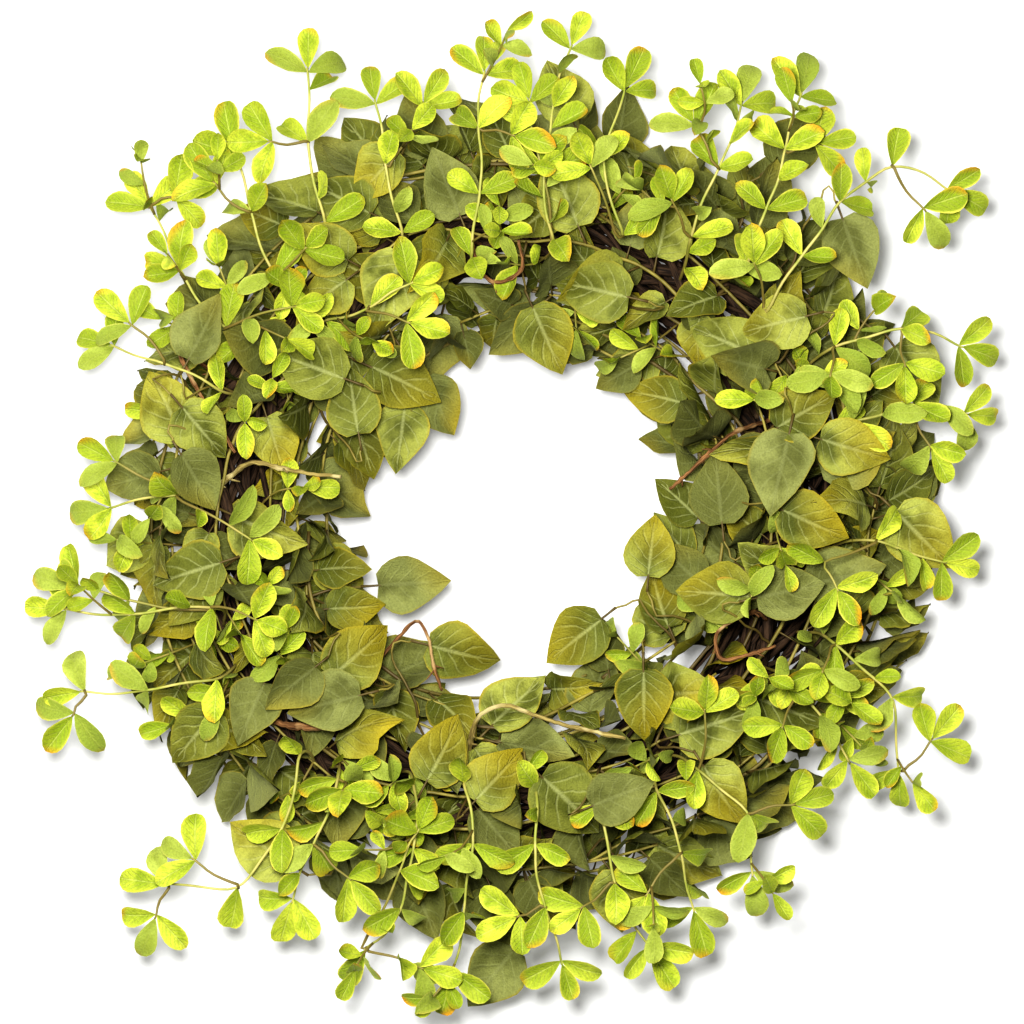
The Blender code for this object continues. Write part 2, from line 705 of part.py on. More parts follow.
def grow_broad_stems(room, canes, chance):
    """The broad-leaf sprays' stems, in lanes round the ring."""
    sprays = []
    for lane in BROAD_LANES:
        for index in range(lane["count"]):
            spray = Spray(f"broadleaf_spray_{len(sprays) + 1:02d}", "broad", lane["lift"])
            first = math.radians(lane["first"] + 360.0 * index / lane["count"])
            route = []
            for step in range(6):
                share = step / 5.0
                around = first + math.radians(lane["arc"]) * share
                turn = math.radians(lane["turn"] + 9.0 * math.sin(5.0 * share + 2.0 * index))
                place, _ = on_bundle(around, turn, lane["away"] - 5.0 + 12.0 * share)
                route.append(place)
            if not grow_main_stem(
                    room, canes, spray, route, BROAD_STEM_RADIUS, BROAD_NODE_STEP, chance, first=20.0):
                print("no room for", spray.name)
            sprays.append(spray)
    return [spray for spray in sprays if spray.stems]


def short_of_tip(points):
    """An arm's points with the last drawn back by most of a leaf, which grows on from there."""
    way = points[-1] - points[-2]
    kept = max(way.length - 0.85 * LIME_LENGTH, 0.3 * way.length)
    return [*points[:-1], points[-2] + way.normalized() * kept]


def grow_lime_stems(room, canes, chance):
    """The lime sprigs' main arms, each seated on a cane."""
    sprigs = []
    for index, (main, *_) in enumerate(LIME_SPRIGS):
        sprig = Spray(f"lime_sprig_{index + 1:02d}", "lime")
        route = short_of_tip([Vector(point) for point in main])
        lean = math.radians(chance.uniform(15.0, 45.0))
        if not grow_main_stem(
                room, canes, sprig, route, LIME_STEM_RADIUS, LIME_NODE_STEP, chance, lean=lean):
            print("no room for", sprig.name)
        sprigs.append(sprig)
    return sprigs


def grow_lime_arms(room, sprigs, chance):
    """The side arms of the lime sprigs."""
    for sprig, (main, *arms) in zip(sprigs, LIME_SPRIGS):
        if not sprig.stems:
            continue
        for start, *rest in arms:
            arm = short_of_tip([Vector(point) for point in (main[start], *rest)])[1:]
            choice = best_side(sprig.stems[0], Vector(main[start]).lerp(arm[0], 0.5))
            if choice is None:
                print("no side for an arm of", sprig.name)
                continue
            _, node, side = choice
            lean = math.radians(chance.uniform(15.0, 45.0))
            if grow_arm(
                    room, sprig, sprig.stems[0], node, side, arm, LIME_STEM_RADIUS * 0.9, LIME_NODE_STEP,
                    chance, lean) is None:
                print("no room for an arm of", sprig.name)


def grow_front_leaves(room, sprays, patterns, chance):
    """The broad leaves that show whole at the front, each on a stalk from a broad-leaf stem nearby."""
    for x, y, degrees, size in FRONT_LEAVES:
        heading = Vector((math.cos(math.radians(degrees)), math.sin(math.radians(degrees)), -0.12))
        heading.normalize()
        middle = Vector((x, y, 0.0))
        around, _ = bundle_angles(middle)
        ridge, _ = on_bundle(around, 0.0, 0.0)
        off_ridge = (middle - ridge).to_2d().length
        middle.z = 90.0 - 0.0042 * off_ridge**2
        root = middle - heading * BROAD_LENGTH * size * 0.58
        placed = False
        for attempt in range(30):
            spot = nudged(root, 0.4 * attempt, chance)
            choices = []
            for spray in sprays:
                choice = best_side(spray.stems[0], spot)
                if choice:
                    choices.append((choice[0], spray.name, choice, spray))
            _, _, (_, node, side), spray = min(choices)
            before = spot - heading * 14.0
            bend = spray.stems[0].points[node].lerp(before, 0.5) + Vector((0.0, 0.0, 2.0))
            arms_before = len(spray.stems)
            stem = grow_arm(
                room, spray, spray.stems[0], node, side, [bend, before, spot], STALK_RADIUS, STALK_STEP, chance)
            if stem is None:
                continue
            last = len(stem.points) - 2
            if try_leaf(
                    room, spray, patterns, stem, last, 4, heading, Vector((0, 0, 1)), size, chance, 10, 0.3):
                placed = True
                break
            spray.stems[0].taken.discard((node, side))
            del spray.stems[arms_before:], spray.arms[arms_before:]
            room.pieces.pop()
        if not placed:
            print("no room for the front leaf at", x, y)


def grow_broad_leaves(room, sprays, patterns, chance):
    """Leaves in turn on either side of each broad-leaf stem, held away from the bundle."""
    for spray in sprays:
        stem = spray.stems[0]
        for node in stem.nodes():
            root = stem.points[node]
            along = stem.direction(node)
            _, outward = on_bundle(*bundle_angles(root), 1.0)
            last = node == len(stem.points) - 2
            for side in ((0, 2) if last else (0,) if node % 2 else (2,)):
                across = stem.outward(node, side)
                heading = (along * 0.7 + across * 1.1 + outward * spray.lift).normalized()
                size = chance.uniform(0.84, 1.1)
                try_leaf(
                    room, spray, patterns, stem, node, side, heading, outward, size, chance, 30, 0.8)
            if last:
                size = chance.uniform(0.84, 1.1)
                try_leaf(room, spray, patterns, stem, node, 4, along, outward, size, chance, 20, 0.6)


def grow_lime_leaves(room, sprigs, patterns, chance):
    """Leaves in opposite pairs along each arm, every pair turned from the last, and one at its tip."""
    for sprig in sprigs:
        for stem in sprig.stems:
            last = len(stem.points) - 2
            for node in reversed(stem.nodes()):
                along = stem.direction(node)
                pair = (0, 2) if (last - node) % 2 == 0 else (1, 3)
                for side in pair:
                    outward = stem.outward(node, side)
                    level = Vector((outward.x, outward.y, 0.1))
                    heading = (along * 0.5 + outward * 0.6 + level * 0.45).normalized()
                    face = Vector((0.0, 0.0, 1.0)) + along * 0.3
                    size = chance.uniform(0.86, 1.12)
                    try_leaf(
                        room, sprig, patterns, stem, node, side, heading, face, size, chance, 16, 0.6)
                if node == last:
                    size = chance.uniform(0.86, 1.12)
                    face = Vector((0.0, 0.0, 1.0))
                    try_leaf(room, sprig, patterns, stem, node, 4, along, face, size, chance, 12, 0.4)


# Solids


def weld_root(body, root, corners):
    """Join an open root to four corners of the body, in place of the face between them."""
    body.faces.remove(body.faces.get(corners))
    turn = (root[1].co - root[0].co).cross(root[2].co - root[1].co)
    if turn.dot((corners[1].co - corners[0].co).cross(corners[2].co - corners[1].co)) < 0.0:
        root = root[::-1]
    turned = [root[k:] + root[:k] for k in range(4)]
    nearest = min(turned, key=lambda row: sum((a.co - b.co).length for a, b in zip(row, corners)))
    bmesh.ops.weld_verts(body, targetmap=dict(zip(nearest, corners)))


def fused_spray(spray):
    """One closed body of a spray's stems and leaves, each growing out of a face of the one that bears it."""
    body = bmesh.new()
    sites = {}
    for stem, parent in zip(spray.stems, spray.arms):
        bearing = {node for node, side in stem.taken if side < 4}
        rings, numbers = stem.tube(body, capped=parent is None, bearing=bearing)
        sites[(stem, len(stem.points) - 2, 4)] = rings[-1]
        for node in bearing:
            lower, upper = rings[numbers[node]], rings[numbers[node] + 1]
            for side in range(4):
                after = (side + 1) % 4
                sites[(stem, node, side)] = [lower[side], lower[after], upper[after], upper[side]]
        if parent:
            weld_root(body, rings[0], sites[parent])
    for stem, node, side, pattern, place in spray.leaves:
        root = leaf_blade(body, pattern.kind, pattern.bend, place=place)
        weld_root(body, root, sites[(stem, node, side)])
    return body


def as_object(shape, name, made_of, folder):
    """A mesh object in metres from a shape in millimetres."""
    bmesh.ops.recalc_face_normals(shape, faces=shape.faces[:])
    bmesh.ops.triangulate(shape, faces=shape.faces[:])
    shape.transform(Matrix.Scale(MM, 4))
    mesh = bpy.data.meshes.new(name)
    shape.to_mesh(mesh)
    shape.free()
    mesh.materials.append(made_of)
    made = bpy.data.objects.new(name, mesh)
    folder.objects.link(made)
    return made


def build():
    """Lay the wreath out and make its solids."""
    clear_scene()
    folder = bpy.data.collections.new("mixed_foliage_twig_wreath")
    bpy.context.scene.collection.children.link(folder)
    chance = random.Random(SEED)
    room = Room()
    tubes = cane_shapes()
    corners, faces = [], []
    for name, tube in tubes.items():
        shape = shape_lists(tube)
        room.add(name, shape)
        faces += [[index + len(corners) for index in face] for face in shape[1]]
        corners += shape[0]
    canes = BVHTree.FromPolygons(corners, faces)

    patterns = leaf_patterns()
    twigs = grow_twigs(room, canes, chance)
    broad = grow_broad_stems(room, canes, chance)
    lime = grow_lime_stems(room, canes, chance)
    grow_front_leaves(room, broad, patterns, chance)
    grow_lime_arms(room, lime, chance)
    grow_broad_leaves(room, broad, patterns, chance)
    grow_lime_leaves(room, lime, patterns, chance)

    for name, tube in tubes.items():
        layer = "outer cane" if "outer" in name else "inner cane"
        as_object(tube, name, material(name, COLOURS[layer], 0.85), folder)
    looks = {"twig": ("twig", 0.8), "broad": ("broad leaf", 0.6), "lime": ("lime leaf", 0.55)}
    for spray in [*twigs, *broad, *lime]:
        if not spray.stems:
            continue
        colour, roughness = looks[spray.kind]
        as_object(fused_spray(spray), spray.name, material(spray.name, COLOURS[colour], roughness), folder)
    print("leaves", sum(len(s.leaves) for s in broad), sum(len(s.leaves) for s in lime))


build()
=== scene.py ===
"""Looks of the mixed foliage twig wreath.

The wreath lies on its back on a pale floor, and the camera looks straight down at its front. The stems
and leaves are laid out in millimetres by the rule and the seed of the solids, so each fine stem and leaf
lies where its solid does. More leaves, thin shoots and vines then fill in between them.
"""

from __future__ import annotations

import logging
import sys
from collections.abc import Iterable, Sequence
from dataclasses import dataclass, field
from enum import Enum
from math import atan2, cos, exp, hypot, inf, pi, radians, sin
from random import Random

import bmesh
import bpy
from bmesh.types import BMesh, BMFace, BMVert
from mathutils import Matrix, Vector
from mathutils.bvhtree import BVHTree

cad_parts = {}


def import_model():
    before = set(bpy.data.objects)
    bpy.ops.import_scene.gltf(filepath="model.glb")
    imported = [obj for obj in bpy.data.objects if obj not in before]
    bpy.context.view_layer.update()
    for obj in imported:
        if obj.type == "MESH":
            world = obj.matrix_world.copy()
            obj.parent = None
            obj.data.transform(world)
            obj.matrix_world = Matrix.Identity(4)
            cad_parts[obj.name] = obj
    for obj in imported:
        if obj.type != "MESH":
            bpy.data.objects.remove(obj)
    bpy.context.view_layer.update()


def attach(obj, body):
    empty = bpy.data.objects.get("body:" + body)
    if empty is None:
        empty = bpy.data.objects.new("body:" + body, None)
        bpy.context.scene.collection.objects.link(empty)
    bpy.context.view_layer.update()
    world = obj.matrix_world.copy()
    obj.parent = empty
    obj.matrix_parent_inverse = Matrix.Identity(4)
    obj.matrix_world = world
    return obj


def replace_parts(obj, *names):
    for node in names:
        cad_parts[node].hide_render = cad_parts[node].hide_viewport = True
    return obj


LOG = logging.getLogger("wreath")
MM = 0.001
SEED = 24
FILL_SEED = 81
UV_NAME = "wreath_map"
TONE_NAME = "leaf_tone"
# The low leaves under the others take only the darker dye tones, as painted shade for the depths of the
# wreath.
LOW_SHADE_TONES = (0.0, 0.4)

RING_CENTRE = Vector((3.0, -1.0, 0.0))
RING_RADIUS = 172.0
RING_HEIGHT = 26.2
SEAT_GAP = 0.35
CLEARANCE = 0.4
STEM_SIDES = 4
STEM_END = 4
NODE_HALF_LENGTH = 0.9
BROAD_NODE_STEP = 38.0
LIME_NODE_STEP = 43.0
STALK_STEP = 22.0
TIP_NODE = 2.6
BROAD_STEM_RADIUS = 1.5
LIME_STEM_RADIUS = 1.3
STALK_RADIUS = 1.1
TIP_TAPER = 0.75
ROOT_HALF_WIDTH = 0.9
BLADE_THICKNESS = 0.75
STEM_SWAY = 2.2
SUBSTEPS = 12
VIEW_HEIGHT = 60.0
FLOOR_GAP = 0.6
FLOOR_PRESS = 0.06
FOOT_DEPTH = 1.6
FOOT_GAP = 0.2
RAY_START = 60.0
RAY_REACH = 48.0
SQUARE_ON = 0.84
STEM_TRIES = 320
ARM_TRIES = 60
STALK_TRIES = 30
TWIG_STEP = 18.0
UP = Vector((0.0, 0.0, 1.0))

Line = Sequence[Vector]
Shape = tuple[list[Vector], list[list[int]]]
Site = tuple[int, int]
Socket = bpy.types.NodeSocket
Tree = bpy.types.NodeTree
Material = bpy.types.Material


class Kind(Enum):
    """What grows on a spray."""

    BROAD = "broad"
    LIME = "lime"
    TWIG = "twig"


class Slot(Enum):
    """The record's material slots."""

    CANE = "cane"
    TWIG = "twig"
    BROAD_LEAF = "broad_leaf"
    LIME_LEAF = "lime_leaf"


class Side(Enum):
    """The places of the finishes on a piece that bears leaves."""

    UPPER = 0
    UNDER = 1
    STEM = 2


@dataclass(frozen=True)
class Lane:
    """A row of broad-leaf sprays round the ring.

    turn is the angle round the bundle, where 0 is the outside and 90 the front, away the distance from
    the bundle's middle, arc each spray's length round the ring and lift how far its leaves stand up.
    """

    count: int
    turn: float
    away: float
    arc: float
    first: float
    lift: float

    def route(self, index: int, steps: int, wave: tuple[float, float, float], rise: float) -> list[Vector]:
        """Lay out the points that one of its sprays passes.

        Args:
            index: which spray it is.
            steps: how many steps it takes.
            wave: how far it weaves round the bundle in degrees, how fast, and how each differs.
            rise: how far its end is further out than its start.

        Returns:
            The points.
        """
        around = radians(self.first + 360.0 * index / self.count)
        reach, speed, shift = wave
        points = []
        for step in range(steps + 1):
            share = step / steps
            turn = radians(self.turn + reach * sin(speed * share + shift * index))
            place, _ = on_bundle(around + radians(self.arc) * share, turn, self.away + rise * share)
            points.append(place)
        return points


BROAD_LANES = (
    Lane(6, 146.0, 37.0, 62.0, 20.0, 0.6),
    Lane(4, 92.0, 37.0, 74.0, 48.0, 0.1),
    Lane(6, 32.0, 39.0, 58.0, 4.0, 0.5),
)

# Rows of low leaves with no solid, which close the body from below
LOW_LANES = (
    Lane(5, 172.0, 58.0, 68.0, 10.0, 0.4),
    Lane(5, 152.0, 52.0, 66.0, 40.0, 0.4),
    Lane(5, 168.0, 31.0, 68.0, 30.0, 0.35),
    Lane(5, 120.0, 34.0, 66.0, 40.0, 0.3),
    Lane(5, 62.0, 34.0, 66.0, 25.0, 0.3),
    Lane(5, 8.0, 32.0, 66.0, 55.0, 0.35),
    Lane(5, 24.0, 48.0, 64.0, 15.0, 0.4),
    Lane(5, -8.0, 50.0, 64.0, 35.0, 0.4),
)

# Broad leaves that stand at the front: the blade's middle, its heading in degrees and its size
FRONT_LEAVES = (
    (-122, 88, 163, 1.06), (-70, 71, -40, 1.04), (-95, 69, 100, 0.92), (-208, 67, 118, 1.05),
    (-188, 41, -48, 0.92), (-187, 20, -60, 0.88), (-178, 111, 55, 0.95), (-102, 192, 150, 0.95),
    (-78, 200, 235, 0.9), (-42, 66, -60, 0.88), (-58, 47, -80, 0.9), (47, 134, 170, 1.06),
    (22, 105, -65, 1.0), (174, 225, 40, 0.96), (206, 158, -70, 0.98), (245, 84, -50, 1.04),
    (157, 111, 200, 0.95), (176, 62, 30, 0.92), (153, 23, -110, 1.14), (127, 17, 90, 0.98),
    (206, 43, -10, 0.98), (249, -14, -42, 1.12), (-194, -33, 195, 0.98), (-90, -82, 40, 1.04),
    (-111, -116, 200, 1.02), (-132, -99, 215, 0.86), (-42, -139, 65, 0.98), (-28, -82, -12, 1.0),
    (-59, -40, 5, 0.96), (-150, -196, 145, 1.04), (-13, -278, 230, 1.0), (-13, -151, 60, 0.95),
    (25, -182, -65, 1.16), (67, -167, 15, 0.9), (76, -114, -95, 0.98), (36, -74, 215, 0.98),
    (126, -168, -58, 0.98), (120, -49, 180, 1.04), (167, -49, 5, 0.94), (180, -6, -25, 0.98),
    (87, -18, 80, 0.86), (-193, -131, 225, 0.95), (30, 257, 110, 0.96), (66, -233, -80, 0.94),
)

# Lime sprigs: the first arm starts at the canes, and each other arm near a point of the first. An
# arm's last point is where its last leaf ends
LIME_SPRIGS = (
    (((-109, 175, 84), (-127, 229, 82), (-116, 258, 76), (-124, 286, 70)),
     (1, (-142, 219, 92), (-154, 234, 84))),
    (((-67, 165, 90), (-76, 215, 92), (-80, 243, 86), (-73, 272, 76)), (1, (-58, 240, 98), (-38, 262, 90))),
    (((-25, 155, 92), (-19, 205, 102), (-20, 249, 92), (-17, 291, 76)),
     (0, (-22, 182, 112), (-3, 193, 120), (6, 172, 122)), (1, (-4, 222, 108), (17, 236, 104))),
    (((25, 165, 90), (20, 215, 96), (30, 262, 84), (44, 302, 68)), (1, (12, 240, 100), (7, 270, 88))),
    (((65, 165, 90), (58, 215, 98), (66, 248, 88), (78, 263, 78)),
     (0, (56, 185, 112), (53, 206, 118), (32, 216, 118))),
    (((105, 160, 90), (122, 205, 96), (135, 240, 88), (147, 267, 76)), (1, (108, 228, 102), (108, 252, 92)),
     (0, (100, 186, 110), (84, 195, 114))),
    (((140, 150, 88), (160, 205, 92), (172, 245, 82), (175, 269, 72)), (1, (178, 220, 92), (198, 229, 80))),
    (((155, 125, 88), (190, 180, 90), (222, 208, 82), (250, 201, 74), (284, 185, 66)),
     (2, (243, 188, 80), (260, 168, 70)), (0, (146, 152, 110), (141, 148, 118))),
    (((190, 100, 82), (225, 112, 84), (258, 102, 76), (290, 96, 66)), (1, (233, 94, 94), (240, 76, 92)),
     (0, (183, 82, 106), (206, 84, 110))),
    (((200, 55, 84), (240, 66, 84), (268, 66, 76), (286, 50, 64)), (1, (247, 46, 84), (262, 24, 72)),
     (0, (186, 42, 106), (184, 30, 112))),
    (((198, -20, 82), (235, -12, 82), (255, -26, 74), (275, -34, 64)),
     (0, (180, -32, 104), (190, -44, 110), (206, -48, 104))),
    (((190, -75, 84), (224, -100, 82), (233, -140, 74), (230, -177, 62)),
     (2, (247, -134, 74), (266, -132, 64)), (0, (180, -92, 106), (197, -98, 106))),
    (((160, -92, 88), (186, -122, 90), (200, -142, 82), (210, -160, 68)),
     (0, (150, -108, 108), (156, -126, 114), (172, -128, 112))),
    (((115, -150, 88), (145, -180, 92), (147, -208, 84), (136, -226, 72)),
     (1, (164, -176, 98), (182, -164, 88)), (0, (112, -128, 110), (120, -120, 116), (104, -104, 114))),
    (((85, -160, 88), (100, -198, 92), (110, -230, 82), (108, -255, 68)),
     (1, (84, -222, 98), (70, -240, 86))),
    (((55, -165, 90), (60, -205, 96), (78, -245, 84), (88, -280, 66)), (1, (44, -230, 100), (34, -246, 92))),
    (((15, -165, 92), (14, -205, 104), (24, -250, 90), (36, -287, 68)), (1, (0, -232, 102), (9, -258, 92))),
    (((-30, -160, 92), (-25, -205, 102), (-35, -250, 86), (-34, -298, 64)),
     (1, (-12, -222, 112), (-20, -236, 112)), (0, (-30, -182, 114), (-34, -168, 118))),
    (((-60, -160, 90), (-60, -210, 94), (-72, -250, 82), (-106, -276, 64)),
     (2, (-56, -266, 82), (-44, -284, 70)), (0, (-52, -182, 112), (-62, -196, 114))),
    (((-100, -150, 86), (-116, -195, 88), (-126, -225, 78), (-138, -250, 66)),
     (1, (-98, -212, 98), (-90, -232, 90)), (0, (-96, -166, 108), (-112, -160, 114))),
    (((-125, -140, 88), (-140, -196, 86), (-168, -222, 80), (-200, -221, 72), (-229, -210, 64)),
     (3, (-212, -238, 74), (-218, -250, 66)), (2, (-186, -208, 84), (-204, -198, 76))),
    (((-165, -95, 86), (-205, -104, 84), (-245, -106, 74), (-281, -104, 64)),
     (2, (-258, -120, 78), (-276, -122, 68))),
    (((-165, -55, 86), (-212, -54, 86), (-252, -60, 76), (-290, -54, 64)),
     (2, (-262, -46, 78), (-266, -34, 70)), (0, (-172, -76, 108), (-168, -98, 112)),
     (0, (-154, -66, 110), (-144, -54, 114))),
    (((-185, 15, 86), (-215, 8, 86), (-238, 4, 76), (-252, 6, 66)), (1, (-232, 28, 88), (-253, 44, 74)),
     (0, (-166, 2, 108), (-152, -10, 116), (-158, -26, 114)), (0, (-160, 18, 110), (-142, 14, 114))),
    (((-175, 75, 86), (-210, 92, 86), (-235, 104, 76), (-253, 98, 64)),
     (1, (-224, 112, 90), (-240, 124, 80))),
    (((-170, 110, 88), (-198, 150, 86), (-212, 180, 78), (-230, 203, 64)),
     (2, (-202, 190, 84), (-190, 194, 80)), (0, (-150, 126, 108), (-130, 128, 114), (-124, 118, 114))),
    (((-140, 145, 88), (-158, 192, 90), (-166, 212, 84), (-170, 232, 72)),
     (1, (-176, 196, 94), (-184, 208, 86)), (0, (-128, 158, 110), (-108, 164, 112))),
    (((-105, 115, 90), (-84, 128, 106), (-62, 140, 116), (-41, 146, 116)),
     (1, (-66, 118, 118), (-46, 106, 118))),
)

# Loose twigs: name, radius and the points it runs through
LOOSE_TWIGS = (
    ("twig_thick_lower_left", 2.9, ((-170, -113, 66), (-140, -121, 73), (-106, -131, 78))),
    ("twig_pale_below_hole", 1.9, ((-22, -126, 80), (-8, -113, 92), (28, -124, 97), (68, -133, 96))),
    ("twig_loop_top", 1.6, ((-24, 166, 74), (-20, 148, 84), (-6, 138, 90), (6, 148, 92), (6, 166, 90))),
    ("twig_inner_right", 1.7, ((132, 49, 72), (112, 32, 74), (95, 16, 66))),
    ("twig_loop_right", 1.6, ((142, -58, 78), (122, -72, 88), (127, -86, 92), (158, -78, 90))),
    ("twig_fork_left", 1.9, ((-153, 28, 78), (-130, 28, 90), (-104, 27, 92))),
    ("twig_thin_left", 1.7, ((-200, 100, 60), (-184, 72, 74), (-166, 38, 78))),
    ("twig_inner_left", 1.4, ((-58, -62, 66), (-49, -84, 70), (-42, -104, 66))),
)

PALE_TWIGS = ("twig_pale_below_hole", "twig_fork_left")

# Short lime sprigs among the broad leaves: where each stretch of 45 degrees round the ring starts, the
# angle round the bundle and how many stand there
LOW_SPRIGS = (
    (0, 130, 2), (0, 100, 2), (45, 128, 2), (45, 100, 1), (90, 110, 1), (135, 120, 2), (135, 75, 2),
    (135, 35, 4), (180, 115, 3), (180, 75, 3), (180, 30, 3), (225, 95, 3), (225, 70, 2), (270, 100, 1),
    (315, 130, 3), (315, 95, 1), (315, 40, 3),
)

# How near the middle and how far out low leaves reach, in millimetres, every 30 degrees
OPENING_RIM = (82, 86, 90, 100, 84, 78, 93, 88, 104, 108, 72, 82)
BODY_EDGE = (262, 268, 288, 272, 262, 250, 240, 258, 256, 270, 248, 254)


# Lines


def rim_at(radii: Sequence[float], around: float) -> float:
    """Read a table of radii at an angle round the ring.

    Args:
        radii: the radius every 30 degrees.
        around: the angle.

    Returns:
        The radius there.
    """
    place = around % (2.0 * pi) / (2.0 * pi) * len(radii)
    before, share = int(place) % len(radii), place % 1.0
    return radii[before] * (1.0 - share) + radii[(before + 1) % len(radii)] * share


def on_bundle(around: float, turn: float, away: float) -> tuple[Vector, Vector]:
    """Find a point on the bundle of canes.

    Args:
        around: the angle round the ring.
        turn: the angle round the bundle, where 0 is the outside of the ring and a right angle its front.
        away: the distance from the bundle's middle, in millimetres.

    Returns:
        The point and the way out from the bundle's middle.
    """
    radial = Vector((cos(around), sin(around), 0.0))
    outward = radial * cos(turn) + Vector((0.0, 0.0, sin(turn)))
    sway = 4.0 * sin(2.0 * around + 0.5) + 2.5 * sin(3.0 * around + 2.2)
    middle = RING_CENTRE + radial * (RING_RADIUS + sway) + Vector((0.0, 0.0, RING_HEIGHT))
    return middle + outward * away, outward


def bundle_angles(point: Vector) -> tuple[float, float]:
    """Find where a point is round the bundle.

    Args:
        point: any point near the wreath.

    Returns:
        The angle round the ring and the angle round the bundle.
    """
    offset = point - RING_CENTRE
    around = atan2(offset.y, offset.x)
    middle, _ = on_bundle(around, 0.0, 0.0)
    sideways = hypot(offset.x, offset.y) - (middle - RING_CENTRE).to_2d().length
    return around, atan2(point.z - RING_HEIGHT, sideways)


def curve_point(points: Line, index: int, share: float, sway: float = 0.0) -> Vector:
    """Find a point on the smooth curve through some points.

    Args:
        points: the points that the curve passes.
        index: the point before the wanted one.
        share: how far it is towards the next.
        sway: how far the curve bows out between two points, to one side and the other by turns.

    Returns:
        The point.
    """
    b, c = points[index], points[index + 1]
    a = points[index - 1] if index > 0 else b * 2.0 - c
    d = points[index + 2] if index + 2 < len(points) else c * 2.0 - b
    t = share
    bend = a * (-t + 2.0 * t**2 - t**3) + b * (2.0 - 5.0 * t**2 + 3.0 * t**3)
    bend += c * (t + 4.0 * t**2 - 3.0 * t**3) + d * (t**3 - t**2)
    if sway == 0.0:
        return bend * 0.5
    bow = (c - b).orthogonal().normalized() * sway * sin(pi * t) ** 2
    return bend * 0.5 + bow * (1.0 if index % 2 else -1.0)


def smooth(points: Line, spacing: float, sway: float = 0.0) -> list[Vector]:
    """Run a smooth curve through some points.

    Args:
        points: the points to pass through.
        spacing: the distance between the curve's own points.
        sway: how far it bows out between two points.

    Returns:
        Evenly spaced points on the curve, the two ends among them.
    """
    spans = range(len(points) - 1)
    dense = [curve_point(points, index, k / SUBSTEPS, sway) for index in spans for k in range(SUBSTEPS)]
    dense.append(points[-1].copy())
    lengths = [(q - p).length for p, q in zip(dense, dense[1:])]
    count = max(1, round(sum(lengths) / spacing))
    step = sum(lengths) / count
    even = [dense[0]]
    walked = 0.0
    for p, q, length in zip(dense, dense[1:], lengths):
        while len(even) < count and walked + length >= step * len(even):
            even.append(p.lerp(q, (step * len(even) - walked) / length))
        walked += length
    even.append(dense[-1])
    return even


def nudged(point: Vector, reach: float, chance: Random) -> Vector:
    """Move a point up to some reach along each axis, and less far down than up."""
    shift = Vector((chance.uniform(-1, 1), chance.uniform(-1, 1), chance.uniform(-0.5, 1)))
    return point + shift * reach


def any_way(chance: Random) -> Vector:
    """Draw a vector with each part between -1 and 1."""
    return Vector([chance.uniform(-1, 1) for _ in range(3)])


def way_at(points: Line, index: int, closed: bool = False) -> Vector:
    """Give the way that a line runs at one of its points.

    Args:
        points: the line's points.
        index: the point.
        closed: whether the line runs back into its start.

    Returns:
        The direction.
    """
    count = len(points)
    before = points[index - 1] if closed or index > 0 else points[0]
    after = points[(index + 1) % count] if closed or index < count - 1 else points[-1]
    return (after - before).normalized()


def short_of_tip(points: Sequence[Sequence[float]]) -> list[Vector]:
    """Draw an arm's last point back by most of a lime leaf, which grows on from there."""
    points = [Vector(point) for point in points]
    way = points[-1] - points[-2]
    kept = max(way.length - 0.85 * LIME_CUT.length, 0.3 * way.length)
    return [*points[:-1], points[-2] + way.normalized() * kept]


def with_tip_node(points: Line) -> list[Vector]:
    """Put one more point just before the end of a stem, for its last leaves."""
    along = (points[-1] - points[-2]).normalized()
    return [*points[:-1], points[-1] - along * TIP_NODE, points[-1]]


# Meshes and objects


def mapped_mesh() -> BMesh:
    """Start a mesh that has a map."""
    body = bmesh.new()
    body.loops.layers.uv.new(UV_NAME)
    return body


def kept_mesh(body: BMesh, name: str) -> bpy.types.Mesh:
    """Turn a worked mesh into one that objects can use."""
    mesh = bpy.data.meshes.new(name)
    body.to_mesh(mesh)
    body.free()
    return mesh


def put_in(name: str, data: bpy.types.ID) -> bpy.types.Object:
    """Put a mesh, a light or a camera into the scene."""
    made = bpy.data.objects.new(name, data)
    bpy.context.scene.collection.objects.link(made)
    return made


# Test shapes, which have the corners of the solids


def circle(body: BMesh, count: int, filled: bool) -> list[BMVert]:
    """Add a circle with or without a face, and give its corners in their order round it."""
    corners = bmesh.ops.create_circle(body, cap_ends=filled, segments=count, radius=1.0)["verts"]
    return sorted(corners, key=lambda corner: atan2(corner.co.y, corner.co.x))


